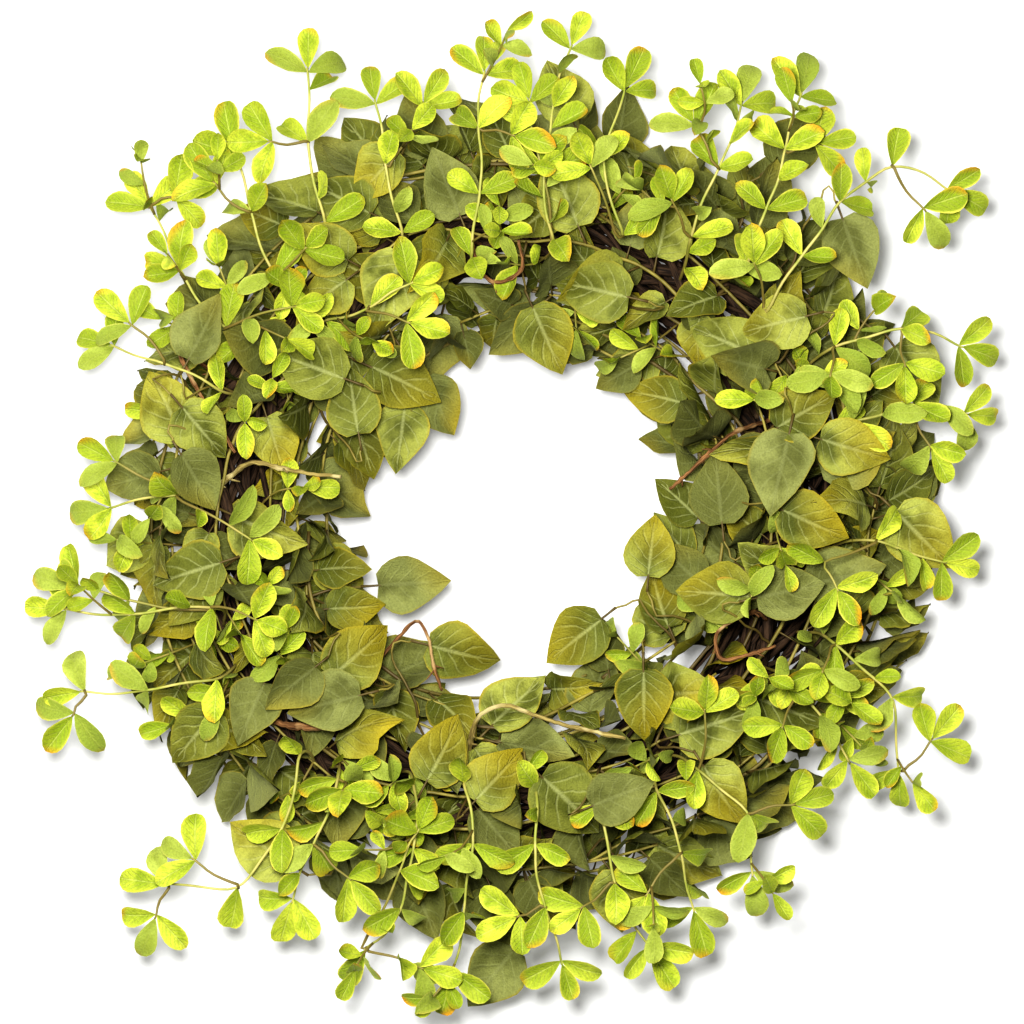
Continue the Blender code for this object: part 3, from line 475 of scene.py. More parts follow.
def sweep(
        tube: BMesh, middles: Line, radii: Sequence[float], sides: int,
        firsts: Line, closed: bool = False) -> list[list[BMVert]]:
    """Add a tube by extruding a ring of edges from middle to middle.

    Args:
        tube: the mesh to add it to.
        middles: the middle of each ring.
        radii: the radius of each ring.
        sides: how many sides the tube has.
        firsts: the direction of each ring's first corner.
        closed: whether the tube runs back into its start.

    Returns:
        The corners of each ring.
    """
    ring = circle(tube, sides, not closed)
    rings = []
    count = len(middles)
    for step in range(count + 1 if closed else count):
        index = step % count
        along = way_at(middles, index, closed)
        across = (firsts[index] - along * firsts[index].dot(along)).normalized()
        upward = along.cross(across)
        if step > 0:
            edges = [tube.edges.get((ring[k], ring[k - 1])) for k in range(sides)]
            grown = bmesh.ops.extrude_edge_only(tube, edges=edges)["geom"]
            fresh = [item for item in grown if isinstance(item, BMVert)]
            ring = [min(fresh, key=lambda vert, old=old: (vert.co - old.co).length) for old in ring]
        for k, vert in enumerate(ring):
            angle = 2.0 * pi * k / sides
            spoke = across * cos(angle) + upward * sin(angle)
            vert.co = middles[index] + spoke * radii[index]
        rings.append(ring)
    if closed:
        bmesh.ops.remove_doubles(tube, verts=rings[0] + rings[-1], dist=0.001)
    else:
        last_edges = [tube.edges.get((ring[k], ring[k - 1])) for k in range(sides)]
        bmesh.ops.contextual_create(tube, geom=last_edges)
    return rings


def shape_lists(shape: BMesh) -> Shape:
    """Take the corners and faces of a mesh as plain lists, with the faces split into triangles."""
    bmesh.ops.triangulate(shape, faces=shape.faces[:])
    shape.verts.index_update()
    corners = [vert.co.copy() for vert in shape.verts]
    # An extrusion's faces come in no fixed order, and find_nearest settles a tie between two by their order.
    faces = sorted(([vert.index for vert in face.verts] for face in shape.faces), reverse=True)
    return corners, faces


def faces_round(corners: Iterable[BMVert]) -> list[BMFace]:
    """List the faces that touch any of some corners, each once."""
    return list(dict.fromkeys(face for corner in corners for face in corner.link_faces))


# Leaves


@dataclass(frozen=True)
class LeafCut:
    """The outline of one kind of leaf, in millimetres, and the rows that a fine leaf is made of."""

    length: float
    half_width: float
    petiole: float
    skew: float
    bluntness: float
    stops: tuple[float, ...]
    rows: tuple[float, ...]
    heart: float
    fine_skew: float
    fine_bluntness: float
    fine_half_width: float
    fine_length: float

    def profile(self, share: float) -> float:
        """Give the half width, of 1 at the widest, from the blade's foot at 0 to its tip at 1."""
        return sin(pi * min(share, 1.0) ** self.skew) ** self.bluntness

    def fine_half(self, share: float) -> float:
        """Give the fine blade's half width at a share of its length."""
        swell = sin(pi * min(share, 1.0) ** self.fine_skew)
        return self.fine_half_width * max(swell, 0.0) ** self.fine_bluntness

    def side(self, grow: float) -> tuple[list[tuple[float, float]], float]:
        """Lay out the corners along one side of the solid leaf.

        Args:
            grow: how far the outline is moved out.

        Returns:
            The corners between the root and the tip, on the flat, and the tip's distance.
        """
        shares = [self.petiole + (1.0 - self.petiole) * stop for stop in self.stops]
        widths = [max(self.half_width * self.profile(stop), ROOT_HALF_WIDTH) + grow for stop in self.stops]
        return [(share * self.length, width) for share, width in zip(shares, widths)], self.length + grow

    def height(self, along: float, across: float, bend: Sequence[float]) -> float:
        """Give the height of a bent blade over its flat outline.

        Args:
            along: the distance from the root.
            across: the distance from the midrib, below 0 on its right.
            bend: the blade's fold at the midrib, its curl along it and its wave.

        Returns:
            The height, in millimetres.
        """
        fold, curl, wave = bend
        share = along / self.length
        lift = abs(across) * fold - curl * self.length * share**2
        return lift + wave * sin(9.0 * share + (2.0 if across > 0.0 else 0.0)) * abs(across) / 10.0


BROAD_CUT = LeafCut(
    56.0, 17.5, 0.18, 0.62, 0.8, (0.0, 0.28, 0.7), (0.0, 0.03, 0.09, 0.18, 0.29, 0.42, 0.56, 0.7, 0.86, 1.0),
    3.0, 0.6, 0.88, 18.4, 1.0)
LIME_CUT = LeafCut(
    27.0, 6.6, 0.0, 1.15, 0.72, (0.42, 0.83), (0.0, 0.08, 0.22, 0.4, 0.58, 0.74, 0.87, 0.96, 1.0),
    0.0, 1.65, 0.45, 6.8, 0.93)
CUTS = {Kind.BROAD: BROAD_CUT, Kind.LIME: LIME_CUT}
BENDS = {
    Kind.BROAD: (
        (0.24, 0.1, 0.9), (0.34, 0.02, -0.8), (0.14, 0.16, 1.3), (0.28, -0.07, 1.0), (0.4, 0.08, 0.6)),
    Kind.LIME: ((0.22, 0.1, 0.0), (0.4, -0.06, 0.3), (0.12, 0.2, 0.4), (0.32, 0.04, -0.4)),
}
# The leaves between those of the solids also come folded, curled over or cupped the other way
FILL_BENDS = {
    Kind.BROAD: (
        *BENDS[Kind.BROAD], (0.75, 0.12, 1.4), (0.55, 0.26, -1.2), (-0.2, 0.3, 1.6), (0.9, 0.02, 0.8)),
    Kind.LIME: (
        *BENDS[Kind.LIME], (0.6, 0.3, 0.4), (0.75, -0.1, 0.3), (0.3, 0.42, -0.4), (-0.1, -0.16, 0.4)),
}


@dataclass(frozen=True)
class Warp:
    """How one leaf has warped since it was pressed.

    droop bends the tip down, as a share of the length, ripple waves the edge, in millimetres, twist turns
    the tip against the foot and cup lifts both edges.
    """

    droop: float
    ripple: float
    twist: float
    cup: float


WARPS = {
    Kind.BROAD: (Warp(0.1, 1.0, 0.12, 0.08), Warp(0.6, 1.9, 0.32, -0.2), Warp(-0.2, 1.5, -0.36, 0.28)),
    Kind.LIME: (Warp(0.1, 0.2, 0.1, 0.25), Warp(0.7, 0.4, 0.4, 0.15), Warp(-0.4, 0.4, -0.45, 0.4)),
}


def leaf_blade(kind: Kind, bend: Sequence[float], grow: float = 0.0, start: float = 0.0) -> Shape:
    """Make the solid leaf: a disc drawn out to the outline, creased, bent and thickened.

    Args:
        kind: which leaf it is.
        bend: its fold, curl and wave.
        grow: how far its surface is moved out.
        start: where it starts along its midrib.

    Returns:
        Its corners and triangles.
    """
    body = bmesh.new()
    cut = CUTS[kind]
    side, tip_along = cut.side(grow)
    outline = [(start, ROOT_HALF_WIDTH + grow), *side, (tip_along, 0.0)]
    outline += [(along, -across) for along, across in reversed(side)]
    outline.append((start, -ROOT_HALF_WIDTH - grow))
    corners = circle(body, len(outline), True)
    for corner, (along, across) in zip(corners, outline):
        corner.co = (along, across, 0.0)
    tip = corners[len(outline) // 2]
    bmesh.ops.connect_verts(body, verts=[corners[0], tip])
    bmesh.ops.connect_verts(body, verts=[corners[-1], tip])
    bmesh.ops.triangulate(body, faces=faces_round(corners))
    halves = {corner: BLADE_THICKNESS / 2.0 + grow for corner in corners}
    halves[corners[0]] = halves[corners[-1]] = NODE_HALF_LENGTH + grow
    for corner in corners:
        corner.co.z = cut.height(corner.co.x, corner.co.y, bend) - halves[corner]
    grown = bmesh.ops.extrude_face_region(body, geom=faces_round(corners))["geom"]
    for vert in [item for item in grown if isinstance(item, BMVert)]:
        vert.co.z += 2.0 * halves[min(corners, key=lambda low, vert=vert: (vert.co - low.co).length)]
    return shape_lists(body)


class LeafPattern:
    """One form of leaf: its fine mesh, and the shapes that its clearance is tested with."""

    thickness: float = 0.5
    strips: int = 4

    def __init__(self, kind: Kind, bend: Sequence[float], number: int) -> None:
        """Make the leaf's shapes.

        Args:
            kind: which leaf it is.
            bend: its fold, curl and wave.
            number: its number among the forms of its kind.
        """
        self.kind = kind
        self.cut = CUTS[kind]
        self.bend = bend
        self.grown = leaf_blade(kind, bend, grow=CLEARANCE)
        self.rootless = leaf_blade(kind, bend, start=1.2)
        self.fine = [self.fine_blade(number + 7 * k, warp) for k, warp in enumerate(WARPS[kind])]

    def fine_blade(self, number: int, warp: Warp) -> bpy.types.Mesh:
        """Make a fine leaf: a flat grid drawn to the outline, doubled, and joined along its rim.

        Args:
            number: the leaf's number among the forms of its kind.
            warp: how it has warped.

        Returns:
            The mesh, with its map running from foot to tip and from edge to edge.
        """
        cut, rows = self.cut, self.cut.rows
        body = mapped_mesh()
        bmesh.ops.create_grid(
            body, x_segments=len(rows) - 1, y_segments=self.strips, size=1.0, calc_uvs=True)
        low = {vert: self.grid_place(vert) for vert in body.verts}
        grown = bmesh.ops.extrude_face_region(body, geom=body.faces[:])["geom"]
        upper = {vert: self.grid_place(vert) for vert in grown if isinstance(vert, BMVert)}
        rim: dict[BMVert, BMVert] = {}
        for sheet, offset in ((low, -0.5), (upper, 0.5)):
            for vert, (row, across) in sheet.items():
                vert.co = self.point(rows[row], across, number, warp)
                if 0 < row < len(rows) - 1 and abs(across) < 0.99:
                    vert.co.z += offset * self.thickness
                elif sheet is upper:
                    rim[vert] = next(other for other, its in low.items() if its == (row, across))
        bmesh.ops.weld_verts(body, targetmap=rim)
        bmesh.ops.remove_doubles(body, verts=body.verts[:], dist=0.01)
        bmesh.ops.recalc_face_normals(body, faces=body.faces[:])
        for face in body.faces:
            face.smooth = True
            face.material_index = Side.UPPER.value if face.normal.z > 0.0 else Side.UNDER.value
        for edge in body.edges:
            edge.smooth = len({face.material_index for face in edge.link_faces}) == 1
        if cut.petiole > 0.0:
            reach = cut.petiole * cut.length
            line = [Vector((share * reach, 0.0, cut.height(share * reach, 0.0, self.bend) - lower))
                    for share, lower in ((-0.1, 0.0), (0.5, 0.0), (1.05, 0.2), (1.9, 0.5))]
            add_tube(body, line, (1.0, 0.75, 0.7, 0.3), 5)
        return kept_mesh(body, f"{self.kind.value}_leaf_{number}")

    def grid_place(self, vert: BMVert) -> tuple[int, float]:
        """Give the row of a corner of the flat grid, and its share of the half width."""
        return round((vert.co.x + 1.0) / 2.0 * (len(self.cut.rows) - 1)), vert.co.y

    def point(self, row: float, across: float, number: int, warp: Warp) -> Vector:
        """Place one corner of a fine blade.

        Args:
            row: the share of the blade's length.
            across: the share of the half width, below 0 on the right.
            number: the leaf's number among the forms of its kind.
            warp: how it has warped.

        Returns:
            The corner's place.
        """
        cut = self.cut
        half = cut.fine_half(row) * (1.0 + 0.03 * sin(9.0 * row + 1.7 * number + 2.0 * across))
        if row == 0.0:
            half = 0.5 * ROOT_HALF_WIDTH
        along = (cut.petiole + (1.0 - cut.petiole) * row) * cut.length * cut.fine_length
        along -= cut.heart * across**2 * max(0.0, 1.0 - row / 0.3) ** 2 * (row > 0.0)
        side = across * half
        height = cut.height(along, side, self.bend) + warp.twist * side * row
        height += warp.cup * abs(side) * abs(across) - warp.droop * cut.length * max(0.0, row - 0.45) ** 2
        height += warp.ripple * across**2 * sin(12.0 * row + 2.6 * number + (1.9 if across > 0 else 0.0))
        return Vector((along, side, height))


def leaf_patterns(bends: dict[Kind, tuple[tuple[float, ...], ...]]) -> dict[Kind, list[LeafPattern]]:
    """Make the few forms that leaves share, from each kind's folds, curls and waves."""
    return {kind: [LeafPattern(kind, bend, number) for number, bend in enumerate(choices)]
            for kind, choices in bends.items()}


# Stems


class Stem:
    """A stem along a row of points, with the nodes and sides where leaves and arms can grow."""

    def __init__(
            self, points: list[Vector], radius: float, upward: Vector, first_node: int,
            lean: float = 0.0) -> None:
        """Lay out the stem's sides.

        Args:
            points: the points it runs through, its root first.
            radius: its radius at the root.
            upward: the way that is up at its tip.
            first_node: the first point that bears leaves.
            lean: how far its sides are turned round it.
        """
        self.points = points
        self.radius = radius
        self.first_node = first_node
        self.taken: set[Site] = set()
        side = upward.cross(self.direction(len(points) - 1)).normalized()
        side = Matrix.Rotation(lean, 3, self.direction(len(points) - 1)) @ side
        self.side_directions: list[Vector] = []
        for index in reversed(range(len(points))):
            along = self.direction(index)
            side = (side - along * side.dot(along)).normalized()
            self.side_directions.insert(0, side)

    def direction(self, index: int) -> Vector:
        """Give the stem's direction at a point."""
        return way_at(self.points, index)

    def nodes(self) -> range:
        """List the points that bear leaves."""
        return range(self.first_node, len(self.points) - 1)

    def width(self, index: int) -> float:
        """Give the distance from the middle to the corners at a point."""
        return self.radius * (1.0 + (TIP_TAPER - 1.0) * index / (len(self.points) - 1))

    def outward(self, index: int, side: int) -> Vector:
        """Give the way that a side faces at a node."""
        turn = Matrix.Rotation(side * pi / 2.0, 3, self.direction(index))
        return turn @ self.side_directions[index]

    def side_middle(self, index: int, side: int) -> Vector:
        """Give the middle of a side at a node."""
        reach = self.width(index) * cos(pi / STEM_SIDES)
        return self.points[index] + self.outward(index, side) * reach

    def tube(self, body: BMesh, grow: float = 0.0, skip: float = 0.0) -> list[list[BMVert]]:
        """Add the solid stem to a mesh.

        Args:
            body: the mesh.
            grow: how far its surface is moved out.
            skip: how much of its root is left out.

        Returns:
            The corners of each ring.
        """
        middles, radii, firsts = [], [], []
        for index, point in enumerate(self.points):
            along = self.direction(index)
            side = self.side_directions[index]
            offsets = (-NODE_HALF_LENGTH, NODE_HALF_LENGTH) if index in self.nodes() else (0.0,)
            if index == 0:
                offsets = (skip,)
            for offset in offsets:
                middles.append(point + along * offset)
                radii.append(self.width(index) + grow)
                firsts.append(side - along.cross(side))
        return sweep(body, middles, radii, STEM_SIDES, firsts)

    def test_shape(self, grow: float = 0.0, skip: float = 0.0) -> Shape:
        """Take the solid stem as plain lists."""
        body = bmesh.new()
        self.tube(body, grow, skip)
        return shape_lists(body)


class Room:
    """Every piece placed so far, with what a new piece must stay clear of."""

    def __init__(self) -> None:
        """Start empty."""
        self.pieces: list[tuple[str, list[float], list[float], BVHTree]] = []

    @staticmethod
    def bounds(corners: Line) -> tuple[list[float], list[float]]:
        """Give the lowest and the highest corner of a box round some corners."""
        low = [min(corner[axis] for corner in corners) for axis in range(3)]
        high = [max(corner[axis] for corner in corners) for axis in range(3)]
        return low, high

    def add(self, owner: str, shape: Shape) -> None:
        """Keep a piece, given by its corners and faces."""
        self.pieces.append((owner, *self.bounds(shape[0]), BVHTree.FromPolygons(*shape)))

    def is_free(self, owner: str, grown: Shape, rootless: Shape | None = None) -> bool:
        """Test a new piece against those placed.

        Args:
            owner: the spray that it belongs to.
            grown: its shape with the clearance, set against the other sprays' pieces.
            rootless: its shape without its root, set against its own spray's pieces.

        Returns:
            Whether it touches none of them.
        """
        low, high = self.bounds(grown[0])
        grown_tree = BVHTree.FromPolygons(*grown)
        own_tree = BVHTree.FromPolygons(*rootless) if rootless else None
        for other, other_low, other_high, tree in self.pieces:
            if any(low[k] > other_high[k] or high[k] < other_low[k] for k in range(3)):
                continue
            mine = own_tree if other == owner else grown_tree
            if mine and mine.overlap(tree):
                return False
        return True


@dataclass(frozen=True)
class Leaf:
    """One placed leaf."""

    pattern: LeafPattern
    place: Matrix


class Spray:
    """A leafy spray: its stems, the first of which stands on the canes, and its leaves."""

    def __init__(self, name: str, kind: Kind, lift: float = 0.0) -> None:
        """Start a spray with nothing on it.

        Args:
            name: the name of its solid.
            kind: what grows on it.
            lift: how far its leaves stand up from the bundle.
        """
        self.name = name
        self.kind = kind
        self.lift = lift
        self.stems: list[Stem] = []
        self.leaves: list[Leaf] = []
        self.shoots: list[tuple[list[Vector], list[float]]] = []

    def stem_is_free(self, room: Room, stem: Stem, from_canes: float = 0.0, from_own: float = 0.0) -> bool:
        """Test a stem, less the part of its root that touches the canes or its own spray."""
        grown = stem.test_shape(grow=CLEARANCE, skip=from_canes)
        return room.is_free(self.name, grown, stem.test_shape(skip=from_own))

    def add_stem(self, room: Room, stem: Stem) -> None:
        """Keep a stem."""
        self.stems.append(stem)
        room.add(self.name, stem.test_shape())


def leaf_place(root: Vector, heading: Vector, face: Vector, size: float) -> Matrix:
    """Work out where a leaf lies.

    Args:
        root: where it grows from.
        heading: the way that it grows.
        face: the way that its upper side looks.
        size: its size, of 1.

    Returns:
        The leaf's matrix.
    """
    across = face.cross(heading).normalized()
    upper = heading.cross(across).normalized()
    turned = Matrix((heading, across, upper)).transposed().to_4x4()
    return Matrix.Translation(root) @ turned @ Matrix.Scale(size, 4)


def moved(shape: Shape, place: Matrix) -> Shape:
    """Move a shape by a matrix."""
    return [place @ corner for corner in shape[0]], shape[1]


@dataclass
class CaneRing:
    """The ring of canes: an outer layer wound one way round it and an inner layer wound the other way."""

    radius: float = 3.6
    winds: int = 3
    solid_sides: int = 5
    solid_steps: int = 26
    fine_sides: int = 10
    fine_steps: int = 156
    knots: int = 11
    layers: tuple[tuple[str, float, int, float], ...] = (("outer", 24.0, 4, 1.0), ("inner", 15.6, 2, -1.0))

    def lines(self, steps: int) -> dict[str, tuple[list[Vector], list[Vector]]]:
        """Lay out the canes.

        Args:
            steps: how many points each has.

        Returns:
            For each cane's name, its points and the ways out from the bundle's middle.
        """
        lines = {}
        for layer, away, count, hand in self.layers:
            for cane in range(count):
                points, outwards = [], []
                for step in range(steps):
                    around = 2.0 * pi * step / steps
                    turn = hand * self.winds * around + 2.0 * pi * cane / count
                    swell = 1.6 * sin(2.0 * around + 1.0) * (0.5 + 0.5 * sin(turn))
                    place, outward = on_bundle(around, turn, away + swell)
                    points.append(place)
                    outwards.append(outward)
                lines[f"cane_{layer}_{cane + 1}"] = (points, outwards)
        return lines

    @staticmethod
    def cut_flat(tube: BMesh) -> None:
        """Cut the lowest bends flat where they lie on the surface."""
        bmesh.ops.bisect_plane(
            tube, geom=[*tube.verts, *tube.edges, *tube.faces], plane_co=(0, 0, 0), plane_no=(0, 0, 1),
            clear_inner=True)
        open_edges = [edge for edge in tube.edges if edge.is_boundary]
        if open_edges:
            bmesh.ops.holes_fill(tube, edges=open_edges)
        bmesh.ops.recalc_face_normals(tube, faces=tube.faces[:])

    def solids(self, room: Room) -> BVHTree:
        """Put the solid canes in the room.

        Args:
            room: the pieces placed so far.

        Returns:
            A tree of all the canes' faces, to seat stems on.
        """
        corners: list[Vector] = []
        faces: list[list[int]] = []
        for name, (points, outwards) in self.lines(self.solid_steps).items():
            tube = bmesh.new()
            sweep(tube, points, [self.radius] * len(points), self.solid_sides, outwards, closed=True)
            self.cut_flat(tube)
            shape = shape_lists(tube)
            room.add(name, shape)
            faces += [[index + len(corners) for index in face] for face in shape[1]]
            corners += shape[0]
        return BVHTree.FromPolygons(corners, faces)

    def build(self, finish: Material) -> None:
        """Make the fine canes, with swellings where side shoots were cut off.

        Args:
            finish: their bark.
        """
        chance = Random(FILL_SEED)
        for name, (points, _) in self.lines(self.fine_steps).items():
            knots = [chance.uniform(0.0, self.fine_steps) for _ in range(self.knots)]
            radii = []
            for step in range(self.fine_steps):
                near = min(abs((step - knot + self.fine_steps / 2) % self.fine_steps - self.fine_steps / 2)
                           for knot in knots)
                radii.append(self.radius * (0.95 + 0.22 * exp(-((near / 1.1) ** 2))))
            tube = mapped_mesh()
            add_tube(tube, points, radii, self.fine_sides, closed=True)
            self.cut_flat(tube)
            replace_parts(as_piece(tube, f"bark_{name}", [finish]), name)


@dataclass
class Growth:
    """The layout of the solids' stems and leaves, drawn in their order from their seed."""

    room: Room
    canes: BVHTree
    patterns: dict[Kind, list[LeafPattern]]
    chance: Random = field(default_factory=lambda: Random(SEED))
    twigs: list[Spray] = field(default_factory=list)
    broad: list[Spray] = field(default_factory=list)
    lime: list[Spray] = field(default_factory=list)

    def grow(self) -> None:
        """Lay out everything in the solids' order."""
        self.grow_twigs()
        self.grow_broad_stems()
        self.grow_lime_stems()
        self.grow_front_leaves()
        self.grow_lime_arms()
        self.grow_broad_leaves()
        self.grow_lime_leaves()

    def seat_on_canes(self, around: float, turn: float) -> tuple[Vector, Vector] | None:
        """Find where a line towards the bundle's middle meets a cane square on.

        Args:
            around: the angle round the ring.
            turn: the angle round the bundle.

        Returns:
            The seat and the way out from it, or None.
        """
        start, outward = on_bundle(around, turn, RAY_START)
        place, normal, _, distance = self.canes.ray_cast(start, -outward)
        if place is None or distance > RAY_REACH or normal.dot(outward) < SQUARE_ON:
            return None
        return place + normal * SEAT_GAP, normal

    def stands_clear(self, stem: Stem) -> bool:
        """Test whether each corner of the stem's root is a little above the canes."""
        body = bmesh.new()
        rings = stem.tube(body)
        for corner in rings[0]:
            place, normal, _, _ = self.canes.find_nearest(corner.co)
            if (corner.co - place).dot(normal) < FOOT_GAP:
                return False
        return True

    def grow_main_stem(
            self, spray: Spray, route: Line, radius: float, step: float,
            first: float = 34.0, lean: float = 0.0) -> bool:
        """Seat a stem on the canes under the route's start and run it along the route, clear of the rest.

        Args:
            spray: the spray that it starts.
            route: the points that it should pass.
            radius: its radius.
            step: the distance between its points.
            first: how far from the root its first leaves are.
            lean: how far its sides are turned round it.

        Returns:
            Whether it found room.
        """
        chance = self.chance
        around, turn = bundle_angles(route[0])
        for attempt in range(STEM_TRIES):
            reach = attempt / STEM_TRIES
            seat = self.seat_on_canes(
                around + chance.uniform(-0.2, 0.2) * reach, turn + chance.uniform(-0.9, 0.9) * reach)
            if seat is None:
                continue
            root, normal = seat
            lifted = root + normal * 6.0
            bend = [nudged(point, 9.0 * reach, chance) for point in route]
            if (bend[0] - lifted).length < 14.0:
                bend[0] = lifted + (bend[0] - lifted).normalized() * 14.0
            points = [root, *smooth([lifted, *bend], step)]
            first_node = len(points)
            if spray.kind is not Kind.TWIG:
                points = with_tip_node(points)
                first_node = next(k for k, point in enumerate(points) if (point - root).length > first)
            upward = UP
            if spray.kind is Kind.BROAD:
                tip_around, tip_turn = bundle_angles(points[-1])
                upward = on_bundle(tip_around, tip_turn, 1.0)[1]
            stem = Stem(points, radius, upward, first_node, lean)
            if self.stands_clear(stem) and spray.stem_is_free(self.room, stem, from_canes=0.6):
                spray.add_stem(self.room, stem)
                return True
        return False

    def grow_arm(
            self, spray: Spray, parent: Stem, site: Site, route: Line, radius: float,
            step: float, lean: float = 0.0) -> Stem | None:
        """Run a side stem out of a side of another stem's node, clear of everything.

        Args:
            spray: the spray that it belongs to.
            parent: the stem that bears it.
            site: the node and the side that it grows from.
            route: the points that it should pass.
            radius: its radius.
            step: the distance between its points.
            lean: how far its sides are turned round it.

        Returns:
            The stem, or None where there is no room.
        """
        root = parent.side_middle(*site)
        outward = parent.outward(*site)
        for attempt in range(ARM_TRIES):
            reach = 10.0 * attempt / ARM_TRIES
            bend = [nudged(point, reach, self.chance) for point in route[:-1]]
            bend.append(nudged(route[-1], 0.4 * reach, self.chance))
            lifted = root + (outward + (bend[0] - root).normalized() * 0.8).normalized() * 4.5
            points = with_tip_node([root, *smooth([lifted, *bend], step)])
            stem = Stem(points, radius, UP, 2, lean)
            if spray.stem_is_free(self.room, stem, from_own=1.5):
                parent.taken.add(site)
                spray.add_stem(self.room, stem)
                return stem
        return None

    @staticmethod
    def best_side(stem: Stem, point: Vector) -> tuple[float, int, int] | None:
        """Find the node and the side of a stem that face a point best from nearby.

        Args:
            stem: the stem.
            point: the point.

        Returns:
            A measure that is lower the better the choice, the node and the side, or None.
        """
        choices = []
        for node in stem.nodes():
            for side in range(STEM_SIDES):
                if any((node, (side + turn) % STEM_SIDES) in stem.taken for turn in (-1, 0, 1)):
                    continue
                way = point - stem.side_middle(node, side)
                facing = stem.outward(node, side).dot(way.normalized())
                if facing > 0.3:
                    choices.append((way.length * (1.6 - facing), node, side))
        return min(choices) if choices else None

    def try_leaf(
            self, spray: Spray, stem: Stem, site: Site, heading: Vector, face: Vector, size: float,
            tries: int, loose: float) -> bool:
        """Place one leaf where it clears everything, turning it a little more at each try.

        Args:
            spray: the spray that it belongs to.
            stem: the stem that bears it.
            site: the node and the side that it grows from, or the last node and STEM_END.
            heading: the way that it should grow.
            face: the way that its upper side should look.
            size: its size, of 1.
            tries: how often it may be turned.
            loose: how far it may be turned.

        Returns:
            Whether it found room.
        """
        node, side = site
        if site in stem.taken:
            return False
        chance = self.chance
        if side == STEM_END:
            root = stem.points[-1]
            outward = stem.direction(len(stem.points) - 1)
        else:
            root = stem.side_middle(node, side)
            outward = stem.outward(node, side)
        for attempt in range(tries):
            reach = loose * attempt / tries
            pattern = chance.choice(self.patterns[spray.kind])
            turn = any_way(chance) * (0.12 + reach)
            tilt = any_way(chance) * (0.15 + reach)
            growing = (heading + turn).normalized()
            if growing.dot(outward) < 0.5:
                growing = (growing + outward * 0.6).normalized()
            if growing.dot(outward) < 0.45:
                continue
            place = leaf_place(root, growing, (face + tilt).normalized(), size)
            grown = moved(pattern.grown, place)
            if min(corner.z for corner in grown[0]) < 1.0:
                continue
            rootless = moved(pattern.rootless, place)
            if self.room.is_free(spray.name, grown, rootless):
                stem.taken.add(site)
                spray.leaves.append(Leaf(pattern, place))
                self.room.add(spray.name, rootless)
                return True
        return False

    def grow_twigs(self) -> None:
        """Grow the loose twigs, each seated on a cane at its start."""
        for name, radius, route in LOOSE_TWIGS:
            twig = Spray(name, Kind.TWIG)
            self.grow_main_stem(twig, [Vector(point) for point in route], radius, TWIG_STEP)
            self.twigs.append(twig)

    def grow_broad_stems(self) -> None:
        """Grow the broad-leaf sprays' stems, in lanes round the ring."""
        sprays: list[Spray] = []
        for lane in BROAD_LANES:
            for index in range(lane.count):
                spray = Spray(f"broadleaf_spray_{len(sprays) + 1:02d}", Kind.BROAD, lane.lift)
                route = lane.route(index, 5, (9.0, 5.0, 2.0), 12.0)
                self.grow_main_stem(spray, route, BROAD_STEM_RADIUS, BROAD_NODE_STEP, first=20.0)
                sprays.append(spray)
        self.broad = [spray for spray in sprays if spray.stems]

    def grow_lime_stems(self) -> None:
        """Grow the lime sprigs' main arms, each seated on a cane."""
        for index, (main, *_) in enumerate(LIME_SPRIGS):
            sprig = Spray(f"lime_sprig_{index + 1:02d}", Kind.LIME)
            route = short_of_tip(main)
            lean = radians(self.chance.uniform(15.0, 45.0))
            self.grow_main_stem(sprig, route, LIME_STEM_RADIUS, LIME_NODE_STEP, lean=lean)
            self.lime.append(sprig)

    def grow_lime_arms(self) -> None:
        """Grow the side arms of the lime sprigs."""
        for sprig, (main, *arms) in zip(self.lime, LIME_SPRIGS):
            if not sprig.stems:
                continue
            for start, *rest in arms:
                arm = short_of_tip((main[start], *rest))[1:]
                choice = self.best_side(sprig.stems[0], Vector(main[start]).lerp(arm[0], 0.5))
                if choice is None:
                    continue
                _, node, side = choice
                lean = radians(self.chance.uniform(15.0, 45.0))
                self.grow_arm(
                    sprig, sprig.stems[0], (node, side), arm, LIME_STEM_RADIUS * 0.9, LIME_NODE_STEP, lean)

    def grow_front_leaves(self) -> None:
        """Grow the broad leaves that show whole at the front, each on a stalk from a stem nearby."""
        for x, y, degrees, size in FRONT_LEAVES:
            heading = Vector((cos(radians(degrees)), sin(radians(degrees)), -0.12)).normalized()
            middle = Vector((x, y, 0.0))
            around, _ = bundle_angles(middle)
            ridge, _ = on_bundle(around, 0.0, 0.0)
            off_ridge = (middle - ridge).to_2d().length
            middle.z = 90.0 - 0.0042 * off_ridge**2
            root = middle - heading * BROAD_CUT.length * size * 0.58
            for attempt in range(STALK_TRIES):
                if self.grow_front_leaf(nudged(root, 0.4 * attempt, self.chance), heading, size):
                    break

    def grow_front_leaf(self, spot: Vector, heading: Vector, size: float) -> bool:
        """Grow one stalk with its leaf.

        Args:
            spot: where the stalk ends.
            heading: the way that the leaf grows.
            size: its size, of 1.

        Returns:
            Whether both found room.
        """
        choices = []
        for spray in self.broad:
            choice = self.best_side(spray.stems[0], spot)
            if choice:
                choices.append((choice[0], spray.name, choice, spray))
        _, _, (_, node, side), spray = min(choices)
        before = spot - heading * 14.0
        bend = spray.stems[0].points[node].lerp(before, 0.5) + UP * 2.0
        stem = self.grow_arm(
            spray, spray.stems[0], (node, side), [bend, before, spot], STALK_RADIUS, STALK_STEP)
        if stem is None:
            return False
        last = len(stem.points) - 2
        if self.try_leaf(spray, stem, (last, STEM_END), heading, UP, size, 10, 0.3):
            return True
        spray.stems[0].taken.discard((node, side))
        spray.stems.pop()
        self.room.pieces.pop()
        return False

